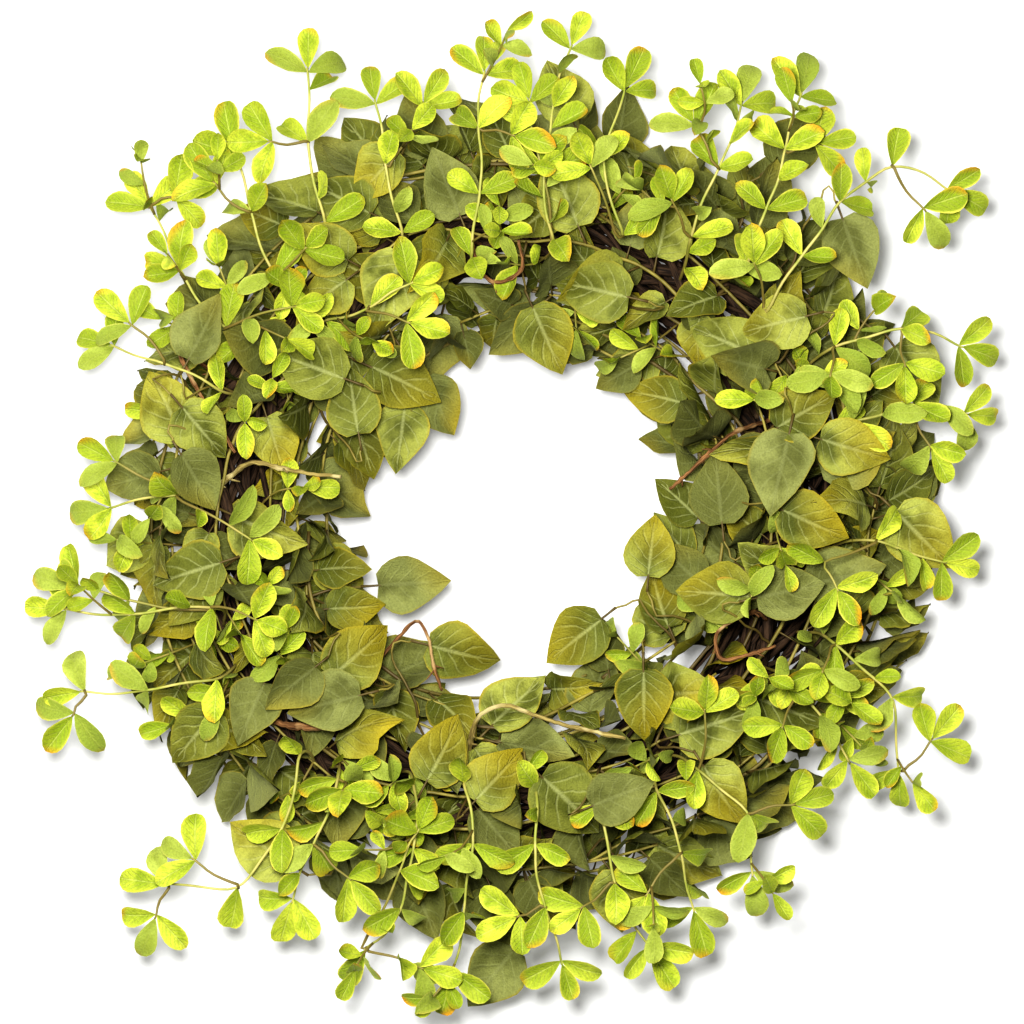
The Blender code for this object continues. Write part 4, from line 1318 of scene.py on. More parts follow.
    def grow_broad_leaves(self) -> None:
        """Grow leaves in turn on either side of each broad-leaf stem, held away from the bundle."""
        for spray in self.broad:
            stem = spray.stems[0]
            for node in stem.nodes():
                root = stem.points[node]
                along = stem.direction(node)
                _, outward = on_bundle(*bundle_angles(root), 1.0)
                last = node == len(stem.points) - 2
                for side in ((0, 2) if last else (0,) if node % 2 else (2,)):
                    across = stem.outward(node, side)
                    heading = (along * 0.7 + across * 1.1 + outward * spray.lift).normalized()
                    size = self.chance.uniform(0.84, 1.1)
                    self.try_leaf(spray, stem, (node, side), heading, outward, size, 30, 0.8)
                if last:
                    size = self.chance.uniform(0.84, 1.1)
                    self.try_leaf(spray, stem, (node, STEM_END), along, outward, size, 20, 0.6)

    def grow_lime_leaves(self) -> None:
        """Grow leaves in pairs along each arm, each pair turned from the last, and one at its tip."""
        for sprig in self.lime:
            for stem in sprig.stems:
                last = len(stem.points) - 2
                for node in reversed(stem.nodes()):
                    along = stem.direction(node)
                    for side in (1, 3) if (last - node) % 2 else (0, 2):
                        outward = stem.outward(node, side)
                        level = Vector((outward.x, outward.y, 0.1))
                        heading = (along * 0.5 + outward * 0.6 + level * 0.45).normalized()
                        face = UP + along * 0.3
                        size = self.chance.uniform(0.86, 1.12)
                        self.try_leaf(sprig, stem, (node, side), heading, face, size, 16, 0.6)
                    if node == last:
                        size = self.chance.uniform(0.86, 1.12)
                        self.try_leaf(sprig, stem, (node, STEM_END), along, UP, size, 12, 0.4)


@dataclass
class Infill:
    """The leaves and shoots that the solids leave out: between the nodes, on side shoots and underneath."""

    growth: Growth
    patterns: dict[Kind, list[LeafPattern]]
    lime_spacing: float = 16.0
    pair_share: float = 0.37
    shoot_share: float = 0.11
    broad_spacing: float = 18.0
    low_share: float = 0.8
    tilt: float = 0.5
    chance: Random = field(default_factory=lambda: Random(FILL_SEED))
    low: Vector = field(default_factory=lambda: Vector((-292.0, -301.0, 1.0)))
    high: Vector = field(default_factory=lambda: Vector((294.0, 302.0, 135.0)))

    def leaf_fits(self, spray: Spray, pattern: LeafPattern, place: Matrix) -> bool:
        """Place a leaf if it stays in the solids' box and crosses nothing.

        Args:
            spray: the spray that bears it.
            pattern: its form.
            place: where it would lie.

        Returns:
            Whether it was placed.
        """
        shape = moved(pattern.rootless, place)
        low, high = Room.bounds(shape[0])
        if any(low[k] < self.low[k] or high[k] > self.high[k] for k in range(3)):
            return False
        over_body = all(self.in_body(corner, pattern.kind) for corner in shape[0])
        if not over_body or not self.growth.room.is_free("", shape):
            return False
        spray.leaves.append(Leaf(pattern, place))
        self.growth.room.add(spray.name, shape)
        return True

    @staticmethod
    def in_body(point: Vector, kind: Kind = Kind.BROAD) -> bool:
        """Test whether a point is clear of the opening and, for a broad leaf, over the dense body."""
        offset = (point - RING_CENTRE).to_2d()
        around = atan2(offset.y, offset.x)
        edge = rim_at(BODY_EDGE, around) if kind is Kind.BROAD else inf
        return rim_at(OPENING_RIM, around) < offset.length < edge

    def try_leaf(
            self, spray: Spray, root: Vector, heading: Vector, face: Vector, size: float, tries: int,
            loose: float) -> bool:
        """Turn a leaf about until it fits.

        Args:
            spray: the spray that bears it.
            root: where it grows from.
            heading: the way that it should grow.
            face: the way that its upper side should look.
            size: its size, of 1.
            tries: how often it may be turned.
            loose: how far it may be turned.

        Returns:
            Whether it was placed.
        """
        chance = self.chance
        for attempt in range(tries):
            reach = loose * attempt / tries
            turn = any_way(chance) * (0.15 + reach)
            tilt = any_way(chance) * (self.tilt + reach)
            growing = (heading + turn).normalized()
            shrunk = size * (1.0 - 0.2 * attempt / tries)
            place = leaf_place(root, growing, (face + tilt).normalized(), shrunk)
            if self.leaf_fits(spray, chance.choice(self.patterns[spray.kind]), place):
                return True
        return False

    def keep_twigs_in_view(self) -> None:
        """Keep the space over each loose twig free of further leaves."""
        for twig in self.growth.twigs:
            points = twig.stems[0].points[1:]
            corners = [*points, *(point + UP * VIEW_HEIGHT for point in points)]
            count = len(points)
            walls = [[k, k + 1, k + 1 + count, k + count] for k in range(count - 1)]
            self.growth.room.add("view", (corners, walls))

    def add_pair_leaf(
            self, sprig: Spray, root: Vector, along: Vector, outward: Vector, size: float, tries: int,
            loose: float) -> None:
        """Try one leaf of a pair, which leans between the way its stem runs and the way out from it."""
        heading = (along * 0.6 + outward * 0.9 + UP * 0.1).normalized()
        self.try_leaf(sprig, root, heading, UP + along * 0.3, size, tries, loose)

    def fill_lime_stem(self, sprig: Spray, stem: Stem) -> None:
        """Put leaf pairs between a lime stem's nodes.

        Args:
            sprig: the sprig.
            stem: one of its stems.
        """
        for index in range(max(stem.first_node - 1, 1), len(stem.points) - 2):
            start, end = stem.points[index], stem.points[index + 1]
            count = round((end - start).length / self.lime_spacing)
            for part in range(1, count):
                share = part / count
                line = curve_point(stem.points, index, share, STEM_SWAY)
                along = (end - start).normalized()
                side = stem.side_directions[index].lerp(stem.side_directions[index + 1], share)
                turn = Matrix.Rotation(pi / 2.0 * part + self.chance.uniform(-0.4, 0.4), 3, along)
                for outward in (turn @ side, -(turn @ side)):
                    share_here = self.pair_share if self.in_body(line) else 0.4 * self.pair_share
                    if outward.z < -0.75 or self.chance.random() > share_here:
                        continue
                    root = line + outward * stem.radius * 0.6
                    self.add_pair_leaf(sprig, root, along, outward, self.chance.uniform(0.64, 0.98), 9, 0.7)

    def add_shoot(
            self, sprig: Spray, root: Vector, heading: Vector, length: float, bare: float = 0.0) -> bool:
        """Grow a short side shoot with leaf pairs and a tip leaf.

        Args:
            sprig: the sprig that bears it.
            root: where it grows from.
            heading: the way that it sets out.
            length: its length.
            bare: how much of its foot bears no leaves.

        Returns:
            Whether it found room.
        """
        chance = self.chance
        for attempt in range(10):
            reach = 0.25 + 0.1 * attempt
            bend = any_way(chance)
            first = (heading + bend * reach).normalized()
            last = (first + UP * 0.35 + bend.cross(first) * 0.5).normalized()
            end = root + (first + last).normalized() * length
            line = smooth([root, root + first * length * 0.5, end], 7.0)
            if not all(self.low[k] + 6 < line[-1][k] < self.high[k] - 6 for k in range(3)):
                continue
            probe = mapped_mesh()
            add_tube(probe, [line[0].lerp(line[1], 0.6), *line[1:]], [0.8] * len(line), 4)
            shape = shape_lists(probe)
            if not self.growth.room.is_free("", shape):
                continue
            self.growth.room.add(sprig.name, shape)
            sprig.shoots.append((line, [0.85 - 0.35 * k / len(line) for k in range(len(line))]))
            pairs = range(len(line) - 1, int(bare / 7.0), -2)
            for number, index in enumerate(pairs):
                along = (line[index] - line[index - 1]).normalized()
                side = along.cross(UP if number % 2 else along.cross(UP)).normalized()
                for outward in (side, -side):
                    size = chance.uniform(0.6, 0.94)
                    self.add_pair_leaf(sprig, line[index] + outward * 0.5, along, outward, size, 8, 0.6)
            along = (line[-1] - line[-2]).normalized()
            self.try_leaf(sprig, line[-1], along, UP, chance.uniform(0.66, 0.96), 8, 0.5)
            return True
        return False

    def fill_lime(self) -> None:
        """Fill the lime sprigs, with leaves between their nodes first and side shoots after."""
        for sprig in self.growth.lime:
            for stem in sprig.stems:
                self.fill_lime_stem(sprig, stem)
        for sprig in self.growth.lime:
            for stem in sprig.stems:
                for index in range(1, len(stem.points) - 2):
                    for share in (0.3, 0.8):
                        if self.chance.random() > self.shoot_share:
                            continue
                        root = curve_point(stem.points, index, share, STEM_SWAY)
                        along = (stem.points[index + 1] - stem.points[index]).normalized()
                        angle = self.chance.uniform(0.0, 2.0 * pi)
                        outward = Matrix.Rotation(angle, 3, along) @ stem.side_directions[index]
                        if outward.z < -0.3:
                            outward = -outward
                        heading = (along * 0.7 + outward * 0.8).normalized()
                        self.add_shoot(sprig, root, heading, self.chance.uniform(22.0, 40.0))

    def low_sprigs(self, stretches: Sequence[tuple[int, int, int]]) -> list[Spray]:
        """Stand short lime sprigs on the canes, up through the broad leaves.

        Args:
            stretches: for each stretch of the ring its start, the angle round the bundle and the count.

        Returns:
            One spray for each stretch.
        """
        made = []
        for number, (start, turn, count) in enumerate(stretches):
            sprig = Spray(f"low_sprigs_{number + 1}", Kind.LIME)
            for index in range(count):
                around = radians(start + 45.0 * (index + self.chance.random()) / count)
                lean = radians(turn + self.chance.uniform(-12.0, 12.0))
                root, outward = on_bundle(around, lean, 25.0)
                along = Vector((-sin(around), cos(around), 0.0))
                for _ in range(4):
                    heading = (outward + along * self.chance.uniform(-0.9, 0.9)).normalized()
                    if self.add_shoot(sprig, root, heading, self.chance.uniform(46.0, 66.0), 26.0):
                        break
            made.append(sprig)
        return made

    def fill_broad(self) -> None:
        """Put broad leaves between the nodes of the broad-leaf sprays."""
        for spray in self.growth.broad:
            stem = spray.stems[0]
            for index in range(1, len(stem.points) - 2):
                start, end = stem.points[index], stem.points[index + 1]
                count = round((end - start).length / self.broad_spacing)
                along = (end - start).normalized()
                for part in range(count):
                    share = (part + 0.5) / count
                    root = curve_point(stem.points, index, share, STEM_SWAY)
                    _, outward = on_bundle(*bundle_angles(root), 1.0)
                    side = along.cross(outward).normalized() * (1.0 if (part + index) % 2 else -1.0)
                    lift = self.chance.uniform(-0.1, 0.7)
                    heading = (along * 0.5 + side * 0.9 + outward * lift).normalized()
                    self.try_leaf(
                        spray, root + side * stem.radius * 0.6, heading, outward,
                        self.chance.uniform(0.66, 0.98), 14, 0.8)

    def understorey(self, lanes: Sequence[Lane]) -> list[Spray]:
        """Grow the low sprays that close the body under the others.

        Args:
            lanes: where they run.

        Returns:
            One spray for each lane.
        """
        made = []
        for number, lane in enumerate(lanes):
            spray = Spray(f"low_leaves_{number + 1}", Kind.BROAD, lane.lift)
            for index in range(lane.count):
                line = smooth(lane.route(index, 6, (8.0, 6.0, 1.3), 5.0), 6.0)
                spray.shoots.append((line, [1.2 - 0.4 * k / len(line) for k in range(len(line))]))
                for k in range(2, len(line), 2):
                    # Over the canes the low leaves are sparse, and dark gaps show between them.
                    if lane.away < 40.0 and self.chance.random() > self.low_share:
                        continue
                    along = (line[k] - line[k - 1]).normalized()
                    _, outward = on_bundle(*bundle_angles(line[k]), 1.0)
                    face = (outward * 0.4 + UP).normalized()
                    side = along.cross(face).normalized() * (1.0 if k % 4 else -1.0)
                    heading = (along * 0.5 + side + outward * lane.lift).normalized()
                    self.try_leaf(spray, line[k], heading, face, self.chance.uniform(0.62, 0.96), 14, 0.9)
            made.append(spray)
        return made


# Fine pieces


def fine_line(stem: Stem, spacing: float, sway: float = 0.0) -> list[Vector]:
    """Run a smooth line along a stem, with its foot let into what bears it."""
    foot = stem.points[0] - stem.direction(0) * FOOT_DEPTH
    return smooth([foot, *stem.points[1:]], spacing, sway)


def add_tube(
        body: BMesh, line: Line, radii: Sequence[float], sides: int,
        closed: bool = False) -> None:
    """Add a round tube, made by rolling a flat grid round a line.

    The map runs along it in tenths of a metre and once round it.

    Args:
        body: the mesh to add it to.
        line: the middles of its rings.
        radii: the radius of each ring.
        sides: how many sides it has.
        closed: whether it runs back into its start.
    """
    count = len(line)
    steps = count if closed else count - 1
    layer = body.loops.layers.uv[UV_NAME]
    fresh = bmesh.ops.create_grid(body, x_segments=steps, y_segments=sides, size=1.0, calc_uvs=True)["verts"]
    walked = sum((q - p).length for p, q in zip(line, line[1:])) / 100.0
    first = (line[1] - line[0]).orthogonal().normalized()
    frames = []
    for index in range(count):
        along = way_at(line, index, closed)
        first = (first - along * first.dot(along)).normalized()
        frames.append((first, along.cross(first)))
    for face in faces_round(fresh):
        face.smooth = True
        face.material_index = Side.STEM.value
        for loop in face.loops:
            loop[layer].uv.x *= walked
    for vert in fresh:
        index = round((vert.co.x + 1.0) / 2.0 * steps) % count
        angle = pi * (vert.co.y + 1.0)
        across, upward = frames[index]
        spoke = across * cos(angle) + upward * sin(angle)
        vert.co = line[index] + spoke * radii[index]
    bmesh.ops.remove_doubles(body, verts=fresh, dist=0.001)
    fresh = [vert for vert in fresh if vert.is_valid]
    rings = [edge for vert in fresh for edge in vert.link_edges if edge.is_boundary]
    if rings:
        caps = bmesh.ops.holes_fill(body, edges=list(dict.fromkeys(rings)))["faces"]
        for cap in caps:
            cap.material_index = Side.STEM.value
    bmesh.ops.recalc_face_normals(body, faces=faces_round(fresh))


def as_piece(
        body: BMesh, name: str, finishes: Sequence[Material]) -> bpy.types.Object:
    """Make an object of the wreath, in metres, from a mesh in millimetres.

    Args:
        body: the mesh.
        name: the piece's name.
        finishes: its materials, in the order of their places.

    Returns:
        The object, riding on the wreath's one body.
    """
    body.transform(Matrix.Scale(MM, 4))
    mesh = kept_mesh(body, name)
    for finish in finishes:
        mesh.materials.append(finish)
    piece = put_in(name, mesh)
    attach(piece, "root")
    LOG.info("%s: %d faces", name, len(mesh.polygons))
    return piece


@dataclass
class LeafySpray:
    """The fine piece of one spray: round stems, and a copy of a fine leaf for each leaf."""

    spray: Spray
    chance: Random
    tones: tuple[float, float] = (0.15, 1.0)
    stem_spacing: float = 5.0
    stem_sides: int = 6

    def build(self, finishes: Sequence[Material], slot: Slot) -> bpy.types.Object:
        """Make the piece.

        Args:
            finishes: those of the upper side, the underside and the stem.
            slot: the record's material slot; not used.

        Returns:
            The piece.
        """
        body = mapped_mesh()
        body.verts.layers.float_vector.new(TONE_NAME)
        for stem in self.spray.stems:
            line = fine_line(stem, self.stem_spacing, STEM_SWAY)
            root = 0.86 * stem.radius
            self.join(body, line, [root * (1.0 - 0.4 * (k / (len(line) - 1))) for k in range(len(line))])
        for line, radii in self.spray.shoots:
            self.join(body, line, radii)
        for leaf in self.spray.leaves:
            self.add_leaf(body, leaf)
        return as_piece(body, f"grown_{self.spray.name}", finishes)

    def join(self, body: BMesh, line: Line, radii: Sequence[float]) -> None:
        """Add a round stem.

        Args:
            body: the spray's mesh.
            line: the middles of its rings.
            radii: the radius of each ring.
        """
        tube = mapped_mesh()
        add_tube(tube, line, radii, self.stem_sides)
        mesh = kept_mesh(tube, "stem")
        body.from_mesh(mesh)
        bpy.data.meshes.remove(mesh)

    def add_leaf(self, body: BMesh, leaf: Leaf) -> None:
        """Add one leaf, with its own tone.

        Args:
            body: the spray's mesh.
            leaf: the leaf.
        """
        known = len(body.verts)
        body.from_mesh(self.chance.choice(leaf.pattern.fine))
        body.verts.ensure_lookup_table()
        fresh = body.verts[known:]
        bmesh.ops.transform(body, matrix=leaf.place, verts=fresh)
        # The first part of the tone is the dye, drawn within the spray's range; the darker range of the low
        # sprays is painted shade.
        tone = Vector((self.chance.uniform(*self.tones), self.chance.random(), self.chance.random()))
        layer = body.verts.layers.float_vector[TONE_NAME]
        for vert in fresh:
            vert[layer] = tone
            if vert.co.z < FLOOR_GAP:
                # A tip that would dip through the floor is bent flat on it.
                vert.co.z = FLOOR_GAP + FLOOR_PRESS * (vert.co.z - FLOOR_GAP)


@dataclass
class TwigPiece:
    """The fine piece of one loose twig, with swellings at its buds."""

    twig: Spray
    chance: Random
    sides: int = 8
    spacing: float = 2.4
    buds: int = 7
    spurs: int = 3

    def build(self, finish: Material) -> None:
        """Make the piece.

        Args:
            finish: the twig's bark.
        """
        stem = self.twig.stems[0]
        line = fine_line(stem, self.spacing)
        line = [line[0], *(nudged(point, 0.16 * stem.radius, self.chance) for point in line[1:])]
        buds = [self.chance.uniform(0.1, 0.95) * len(line) for _ in range(self.buds)]
        radii = []
        for k in range(len(line)):
            near = min(abs(k - bud) for bud in buds)
            wide = self.chance.uniform(0.94, 1.06) * (1.0 + 0.4 * exp(-near * near))
            radii.append(0.84 * stem.radius * (1.0 - 0.3 * k / len(line)) * wide)
        body = mapped_mesh()
        add_tube(body, line, radii, self.sides)
        for bud in buds[:self.spurs]:
            k = min(max(int(bud), 3), len(line) - 2)
            along = (line[k + 1] - line[k - 1]).normalized()
            side = Matrix.Rotation(self.chance.uniform(0.0, 6.3), 3, along) @ along.orthogonal().normalized()
            way = (along * 0.7 + side).normalized() * self.chance.uniform(4.0, 9.0)
            wide = 0.5 * radii[k]
            add_tube(body, [line[k], line[k] + way * 0.5, nudged(line[k] + way, 0.8, self.chance)],
                     [wide, 0.8 * wide, 0.4 * wide], 5)
        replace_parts(as_piece(body, f"bark_{self.twig.name}", [finish]), self.twig.name)


@dataclass
class Vines:
    """Thin vines wound round the canes, which close the bundle."""

    count: int = 33
    sides: int = 6
    steps: int = 170
    layers: tuple[float, ...] = (28.6, 20.4, 11.2)

    def build(self, finish: Material, chance: Random) -> None:
        """Make all vines as one piece.

        Args:
            finish: their bark.
            chance: the source of the draws.
        """
        body = mapped_mesh()
        for number in range(self.count):
            away = self.layers[number % len(self.layers)]
            hand = 1.0 if number % 2 else -1.0
            winds = chance.choice((2, 4, 5))
            phase = chance.uniform(0.0, 2.0 * pi)
            radius = chance.uniform(1.0, 2.3)
            line = []
            for step in range(self.steps):
                around = 2.0 * pi * step / self.steps
                turn = hand * winds * around + phase + 0.35 * sin(3.0 * around + phase)
                lift = away + 1.2 * sin(5.0 * around + 2.0 * phase)
                place, _ = on_bundle(around, turn, lift)
                place.z = max(place.z, radius + 0.3)
                line.append(place)
            add_tube(body, line, [radius] * self.steps, self.sides, closed=True)
        as_piece(body, "vines", [finish])


# Finishes


def linear(colour: str) -> tuple[float, float, float, float]:
    """Turn an sRGB colour, six hex digits after a hash, to linear with an alpha of 1."""
    parts = [int(colour[k:k + 2], 16) / 255.0 for k in (1, 3, 5)]
    return (*(part / 12.92 if part <= 0.04045 else ((part + 0.055) / 1.055) ** 2.4 for part in parts), 1.0)


def start_material(
        name: str, sockets: dict[str, object]) -> tuple[Material, Tree, bpy.types.Node]:
    """Start a material with the numbers and colours that are the same all over.

    Args:
        name: its name.
        sockets: the value of each of the shader's own sockets.

    Returns:
        The material, its nodes and its shader.
    """
    made = bpy.data.materials.new(name)
    made.use_nodes = True
    shader = made.node_tree.nodes["Principled BSDF"]
    for socket, value in sockets.items():
        shader.inputs[socket].default_value = value
    return made, made.node_tree, shader


def add_node(
        tree: Tree, kind: str, feeds: dict[str | int, object] | Sequence[object] = (),
        out: str | int = 0, **settings: object) -> Socket:
    """Add a node with its settings and links.

    Args:
        tree: the material's nodes.
        kind: the node's type, without the ShaderNode before it.
        feeds: for each input, by name or place or in their order, the output that feeds it or its value.
        out: the wanted output, by name or place.
        settings: the node's own settings.

    Returns:
        The wanted output.
    """
    node = tree.nodes.new("ShaderNode" + kind)
    for name, value in settings.items():
        setattr(node, name, value)
    for name, value in feeds.items() if isinstance(feeds, dict) else enumerate(feeds):
        if isinstance(value, Socket):
            tree.links.new(value, node.inputs[name])
        else:
            node.inputs[name].default_value = value
    return node.outputs[out]


@dataclass(frozen=True)
class LeafCloth:
    """Woven polyester, printed, heat-pressed over a vein plate and cut out.

    It is matt with a faint sheen, paler along its pressed veins and yellowed at the cut edge, and no two
    leaves take the dye alike.
    """

    name: str
    deep: str
    pale: str
    mottle: str
    rim: str
    vein: str
    tip: str
    rim_share: float
    tip_share: float
    vein_count: float
    vein_strength: float
    vein_slant: float
    patch: float
    roughness: float
    sheen: float

    def material(self) -> Material:
        """Make the material.

        Returns:
            The material, which reads the piece's map and its leaves' tones.
        """
        made, tree, shader = start_material(self.name, {
            "Roughness": self.roughness, "IOR": 1.5, "Specular IOR Level": 0.2,
            "Sheen Weight": self.sheen, "Sheen Roughness": 0.5})
        mapped = add_node(tree, "UVMap", uv_map=UV_NAME)
        along, round_blade, _ = add_node(tree, "SeparateXYZ", (mapped,)).node.outputs
        tone = add_node(tree, "Attribute", out="Vector", attribute_name=TONE_NAME)
        dye_and_shade_tone, edge_tone, tip_tone = add_node(tree, "SeparateXYZ", (tone,)).node.outputs
        doubled = add_node(tree, "Math", (round_blade, 2.0, -1.0), operation="MULTIPLY_ADD")
        across = add_node(tree, "Math", (doubled,), operation="ABSOLUTE")
        spots = add_node(tree, "TexCoord", out="Object")
        # Dye patches are a third of a leaf across.
        patches = add_node(tree, "TexNoise", {"Vector": spots, "Scale": 1000.0 / self.patch, "Detail": 3.0})
        # Thread ends and dye specks are under half a millimetre, drawn here at about one to show.
        specks = add_node(tree, "TexNoise", {"Vector": spots, "Scale": 900.0, "Detail": 2.0})

        # The first tone mixes the deep and the pale dye: random on each leaf, and kept dark on the low leaves
        # as painted shade.
        colour = add_node(
            tree, "Mix", {0: dye_and_shade_tone, 6: linear(self.deep), 7: linear(self.pale)}, 2, data_type="RGBA")
        # The mottle is weighted towards the midrib, so the middle of a blade is darker than its edges.
        midrib_weighted = add_node(tree, "Math", (across, -0.22, patches), operation="MULTIPLY_ADD")
        patched = add_node(tree, "MapRange", (midrib_weighted, 0.3, 0.54, 0.0, 0.85))
        veins = self.veins(tree, along, across, patches)
        rim = self.rim_mask(tree, across, edge_tone, patches)
        # Sun-bleached yellow spreads from the tip, further down one edge than the other.
        leaning = add_node(tree, "MapRange", (edge_tone, 0.0, 1.0, -0.4, 0.4))
        tilted = add_node(tree, "Math", (doubled, leaning, along), operation="MULTIPLY_ADD")
        near_tip = add_node(tree, "MapRange", (tilted, 1.0 - self.tip_share, 1.1, 0.0, 1.0))
        some = add_node(tree, "MapRange", (tip_tone, 0.35, 1.0, 0.05, 1.0))
        tipped = add_node(tree, "Math", (near_tip, some), operation="MULTIPLY")
        for mask, tint in ((patched, self.mottle), (veins, self.vein), (rim, self.rim), (tipped, self.tip)):
            colour = add_node(tree, "Mix", {0: mask, 6: colour, 7: linear(tint)}, 2, data_type="RGBA")
        speckle = add_node(tree, "MapRange", (specks, 0.3, 0.7, 0.86, 1.12))
        dyed = add_node(tree, "VectorMath", {0: colour, 3: speckle}, operation="SCALE")
        tree.links.new(dyed, shader.inputs["Base Color"])

        relief = add_node(tree, "Math", (veins, -1.6, specks), operation="MULTIPLY_ADD")
        bump = add_node(tree, "Bump", {"Height": relief, "Distance": 0.0007, "Strength": 0.9})
        tree.links.new(bump, shader.inputs["Normal"])
        return made

    def rim_mask(
            self, tree: Tree, across: Socket, tone: Socket,
            patches: Socket) -> Socket:
        """Draw the yellowed edge, ragged and on some leaves wider.

        Args:
            tree: the material's nodes.
            across: the share of the half width.
            tone: how much of it this leaf has.
            patches: a noise that frays it.

        Returns:
            A mask of the edge.
        """
        mask = add_node(tree, "MapRange", (across, 1.0 - self.rim_share, 1.0, 0.0, 1.0))
        for factor in (tone, patches):
            mask = add_node(tree, "Math", (mask, factor), operation="MULTIPLY")
        return add_node(tree, "Math", (mask, 2.2), operation="MULTIPLY", use_clamp=True)

    def veins(
            self, tree: Tree, along: Socket, across: Socket,
            wander: Socket) -> Socket:
        """Draw the midrib and the side veins, which slant towards the tip.

        Args:
            tree: the material's nodes.
            along: the share of the blade's length.
            across: the share of the half width.
            wander: a noise that bends the side veins.

        Returns:
            A mask of the veins.
        """
        middle = add_node(tree, "MapRange", (across, 0.03, 0.1, self.vein_strength, 0.0))
        slant = add_node(tree, "Math", (across, -self.vein_slant, along), operation="MULTIPLY_ADD")
        counted = add_node(tree, "Math", (slant, self.vein_count, wander), operation="MULTIPLY_ADD")
        waved = add_node(tree, "Math", (counted, 0.5), operation="PINGPONG")
        lines = add_node(tree, "MapRange", (waved, 0.03, 0.13, self.vein_strength, 0.0))
        fade = add_node(tree, "MapRange", (across, 0.55, 0.95, 0.75, 0.0))
        faded = add_node(tree, "Math", (lines, fade), operation="MULTIPLY")
        return add_node(tree, "Math", (middle, faded), operation="MAXIMUM")


@dataclass(frozen=True)
class MouldedStem:
    """Polythene moulded over wire, dusted with dye: satin, a little uneven in colour, browner at the foot."""

    name: str
    colour: str
    other: str
    foot: str

    def material(self) -> Material:
        """Make the material.

        Returns:
            The material, mottled along the stem.
        """
        made, tree, shader = start_material(self.name, {"Roughness": 0.55, "IOR": 1.51})
        spots = add_node(tree, "TexCoord", out="Object")
        # The dye changes every dozen millimetres along a stem.
        dye = add_node(tree, "TexNoise", {"Vector": spots, "Scale": 80.0, "Detail": 2.0})
        share = add_node(tree, "MapRange", (dye, 0.38, 0.62, 0.0, 1.0))
        mixed = add_node(
            tree, "Mix", {0: share, 6: linear(self.colour), 7: linear(self.other)}, 2, data_type="RGBA")
        mapped = add_node(tree, "UVMap", uv_map=UV_NAME)
        along = add_node(tree, "SeparateXYZ", (mapped,))
        low = add_node(tree, "MapRange", (along, 0.15, 0.7, 0.9, 0.0))
        footed = add_node(tree, "Mix", {0: low, 6: mixed, 7: linear(self.foot)}, 2, data_type="RGBA")
        tree.links.new(footed, shader.inputs["Base Color"])
        return made


@dataclass(frozen=True)
class Bark:
    """Dried vine or birch twig with its bark on: dull, streaked along its length, with pale scars."""

    name: str
    colour: str
    groove: str
    scar: str
    scar_share: float

    def material(self) -> Material:
        """Make the material.

        Returns:
            The material, which reads the tube's map: along it and round it.
        """
        made, tree, shader = start_material(
            self.name, {"Roughness": 0.82, "IOR": 1.45, "Specular IOR Level": 0.3})
        mapped = add_node(tree, "UVMap", uv_map=UV_NAME)
        along, round_tube, _ = add_node(tree, "SeparateXYZ", (mapped,)).node.outputs
        angle = add_node(tree, "Math", (round_tube, 2.0 * pi), operation="MULTIPLY")
        east = add_node(tree, "Math", (angle,), operation="COSINE")
        north = add_node(tree, "Math", (angle,), operation="SINE")
        # Bark furrows are 15 to 30 mm long and a millimetre apart.
        length = add_node(tree, "Math", (along, 4.0), operation="MULTIPLY")
        skin = add_node(tree, "CombineXYZ", (east, north, length))
        streaks = add_node(tree, "TexNoise", {"Vector": skin, "Scale": 2.6, "Detail": 5.0})
        furrow = add_node(tree, "MapRange", (streaks, 0.38, 0.62, 0.0, 1.0))
        streaked = add_node(
            tree, "Mix", {0: furrow, 6: linear(self.groove), 7: linear(self.colour)}, 2, data_type="RGBA")
        spots = add_node(tree, "TexCoord", out="Object")
        scars = add_node(tree, "TexNoise", {"Vector": spots, "Scale": 55.0, "Detail": 2.0})
        bare = add_node(
            tree, "MapRange", (scars, 0.72 - self.scar_share, 0.8 - self.scar_share, 0.0, 0.85))
        peeled = add_node(tree, "Mix", {0: bare, 6: streaked, 7: linear(self.scar)}, 2, data_type="RGBA")
        tree.links.new(peeled, shader.inputs["Base Color"])
        bump = add_node(tree, "Bump", {"Height": streaks, "Distance": 0.0012, "Strength": 0.7})
        tree.links.new(bump, shader.inputs["Normal"])
        return made


BROAD_UPPER = LeafCloth(
    "printed_polyester_olive", deep="#5A5F20", pale="#A8AC56", mottle="#50561E", rim="#A8993A",
    vein="#B2B67C", tip="#AE9C26", rim_share=0.12, tip_share=0.7, vein_count=6.0, vein_strength=0.5,
    vein_slant=0.3, patch=17.0, roughness=0.65, sheen=0.0)
BROAD_UNDER = LeafCloth(
    "polyester_back_olive", deep="#636632", pale="#92965A", mottle="#5E6130", rim="#92893E",
    vein="#9EA26E", tip="#9E9238", rim_share=0.1, tip_share=0.4, vein_count=6.0, vein_strength=0.25,
    vein_slant=0.3, patch=20.0, roughness=0.75, sheen=0.02)
LIME_UPPER = LeafCloth(
    "printed_polyester_lime", deep="#7E9026", pale="#D0D94E", mottle="#8CA028", rim="#DAD660",
    vein="#D0D67C", tip="#DC9A2E", rim_share=0.2, tip_share=0.3, vein_count=9.0, vein_strength=0.4,
    vein_slant=0.28, patch=11.0, roughness=0.6, sheen=0.0)
LIME_UNDER = LeafCloth(
    "polyester_back_lime", deep="#869638", pale="#B2BD5A", mottle="#929E3E", rim="#BABC5C",
    vein="#B8BE72", tip="#C09840", rim_share=0.2, tip_share=0.2, vein_count=9.0, vein_strength=0.15,
    vein_slant=0.28, patch=12.0, roughness=0.7, sheen=0.02)
BROAD_STEM = MouldedStem("moulded_stem_olive", "#A3974A", "#7A7030", "#5A4A26")
LIME_STEM = MouldedStem("moulded_stem_ochre", "#C8BE70", "#A0A64A", "#7A6A34")
CANE_BARK = Bark("vine_bark_dark", "#53402F", "#231A13", "#8A7254", scar_share=0.06)
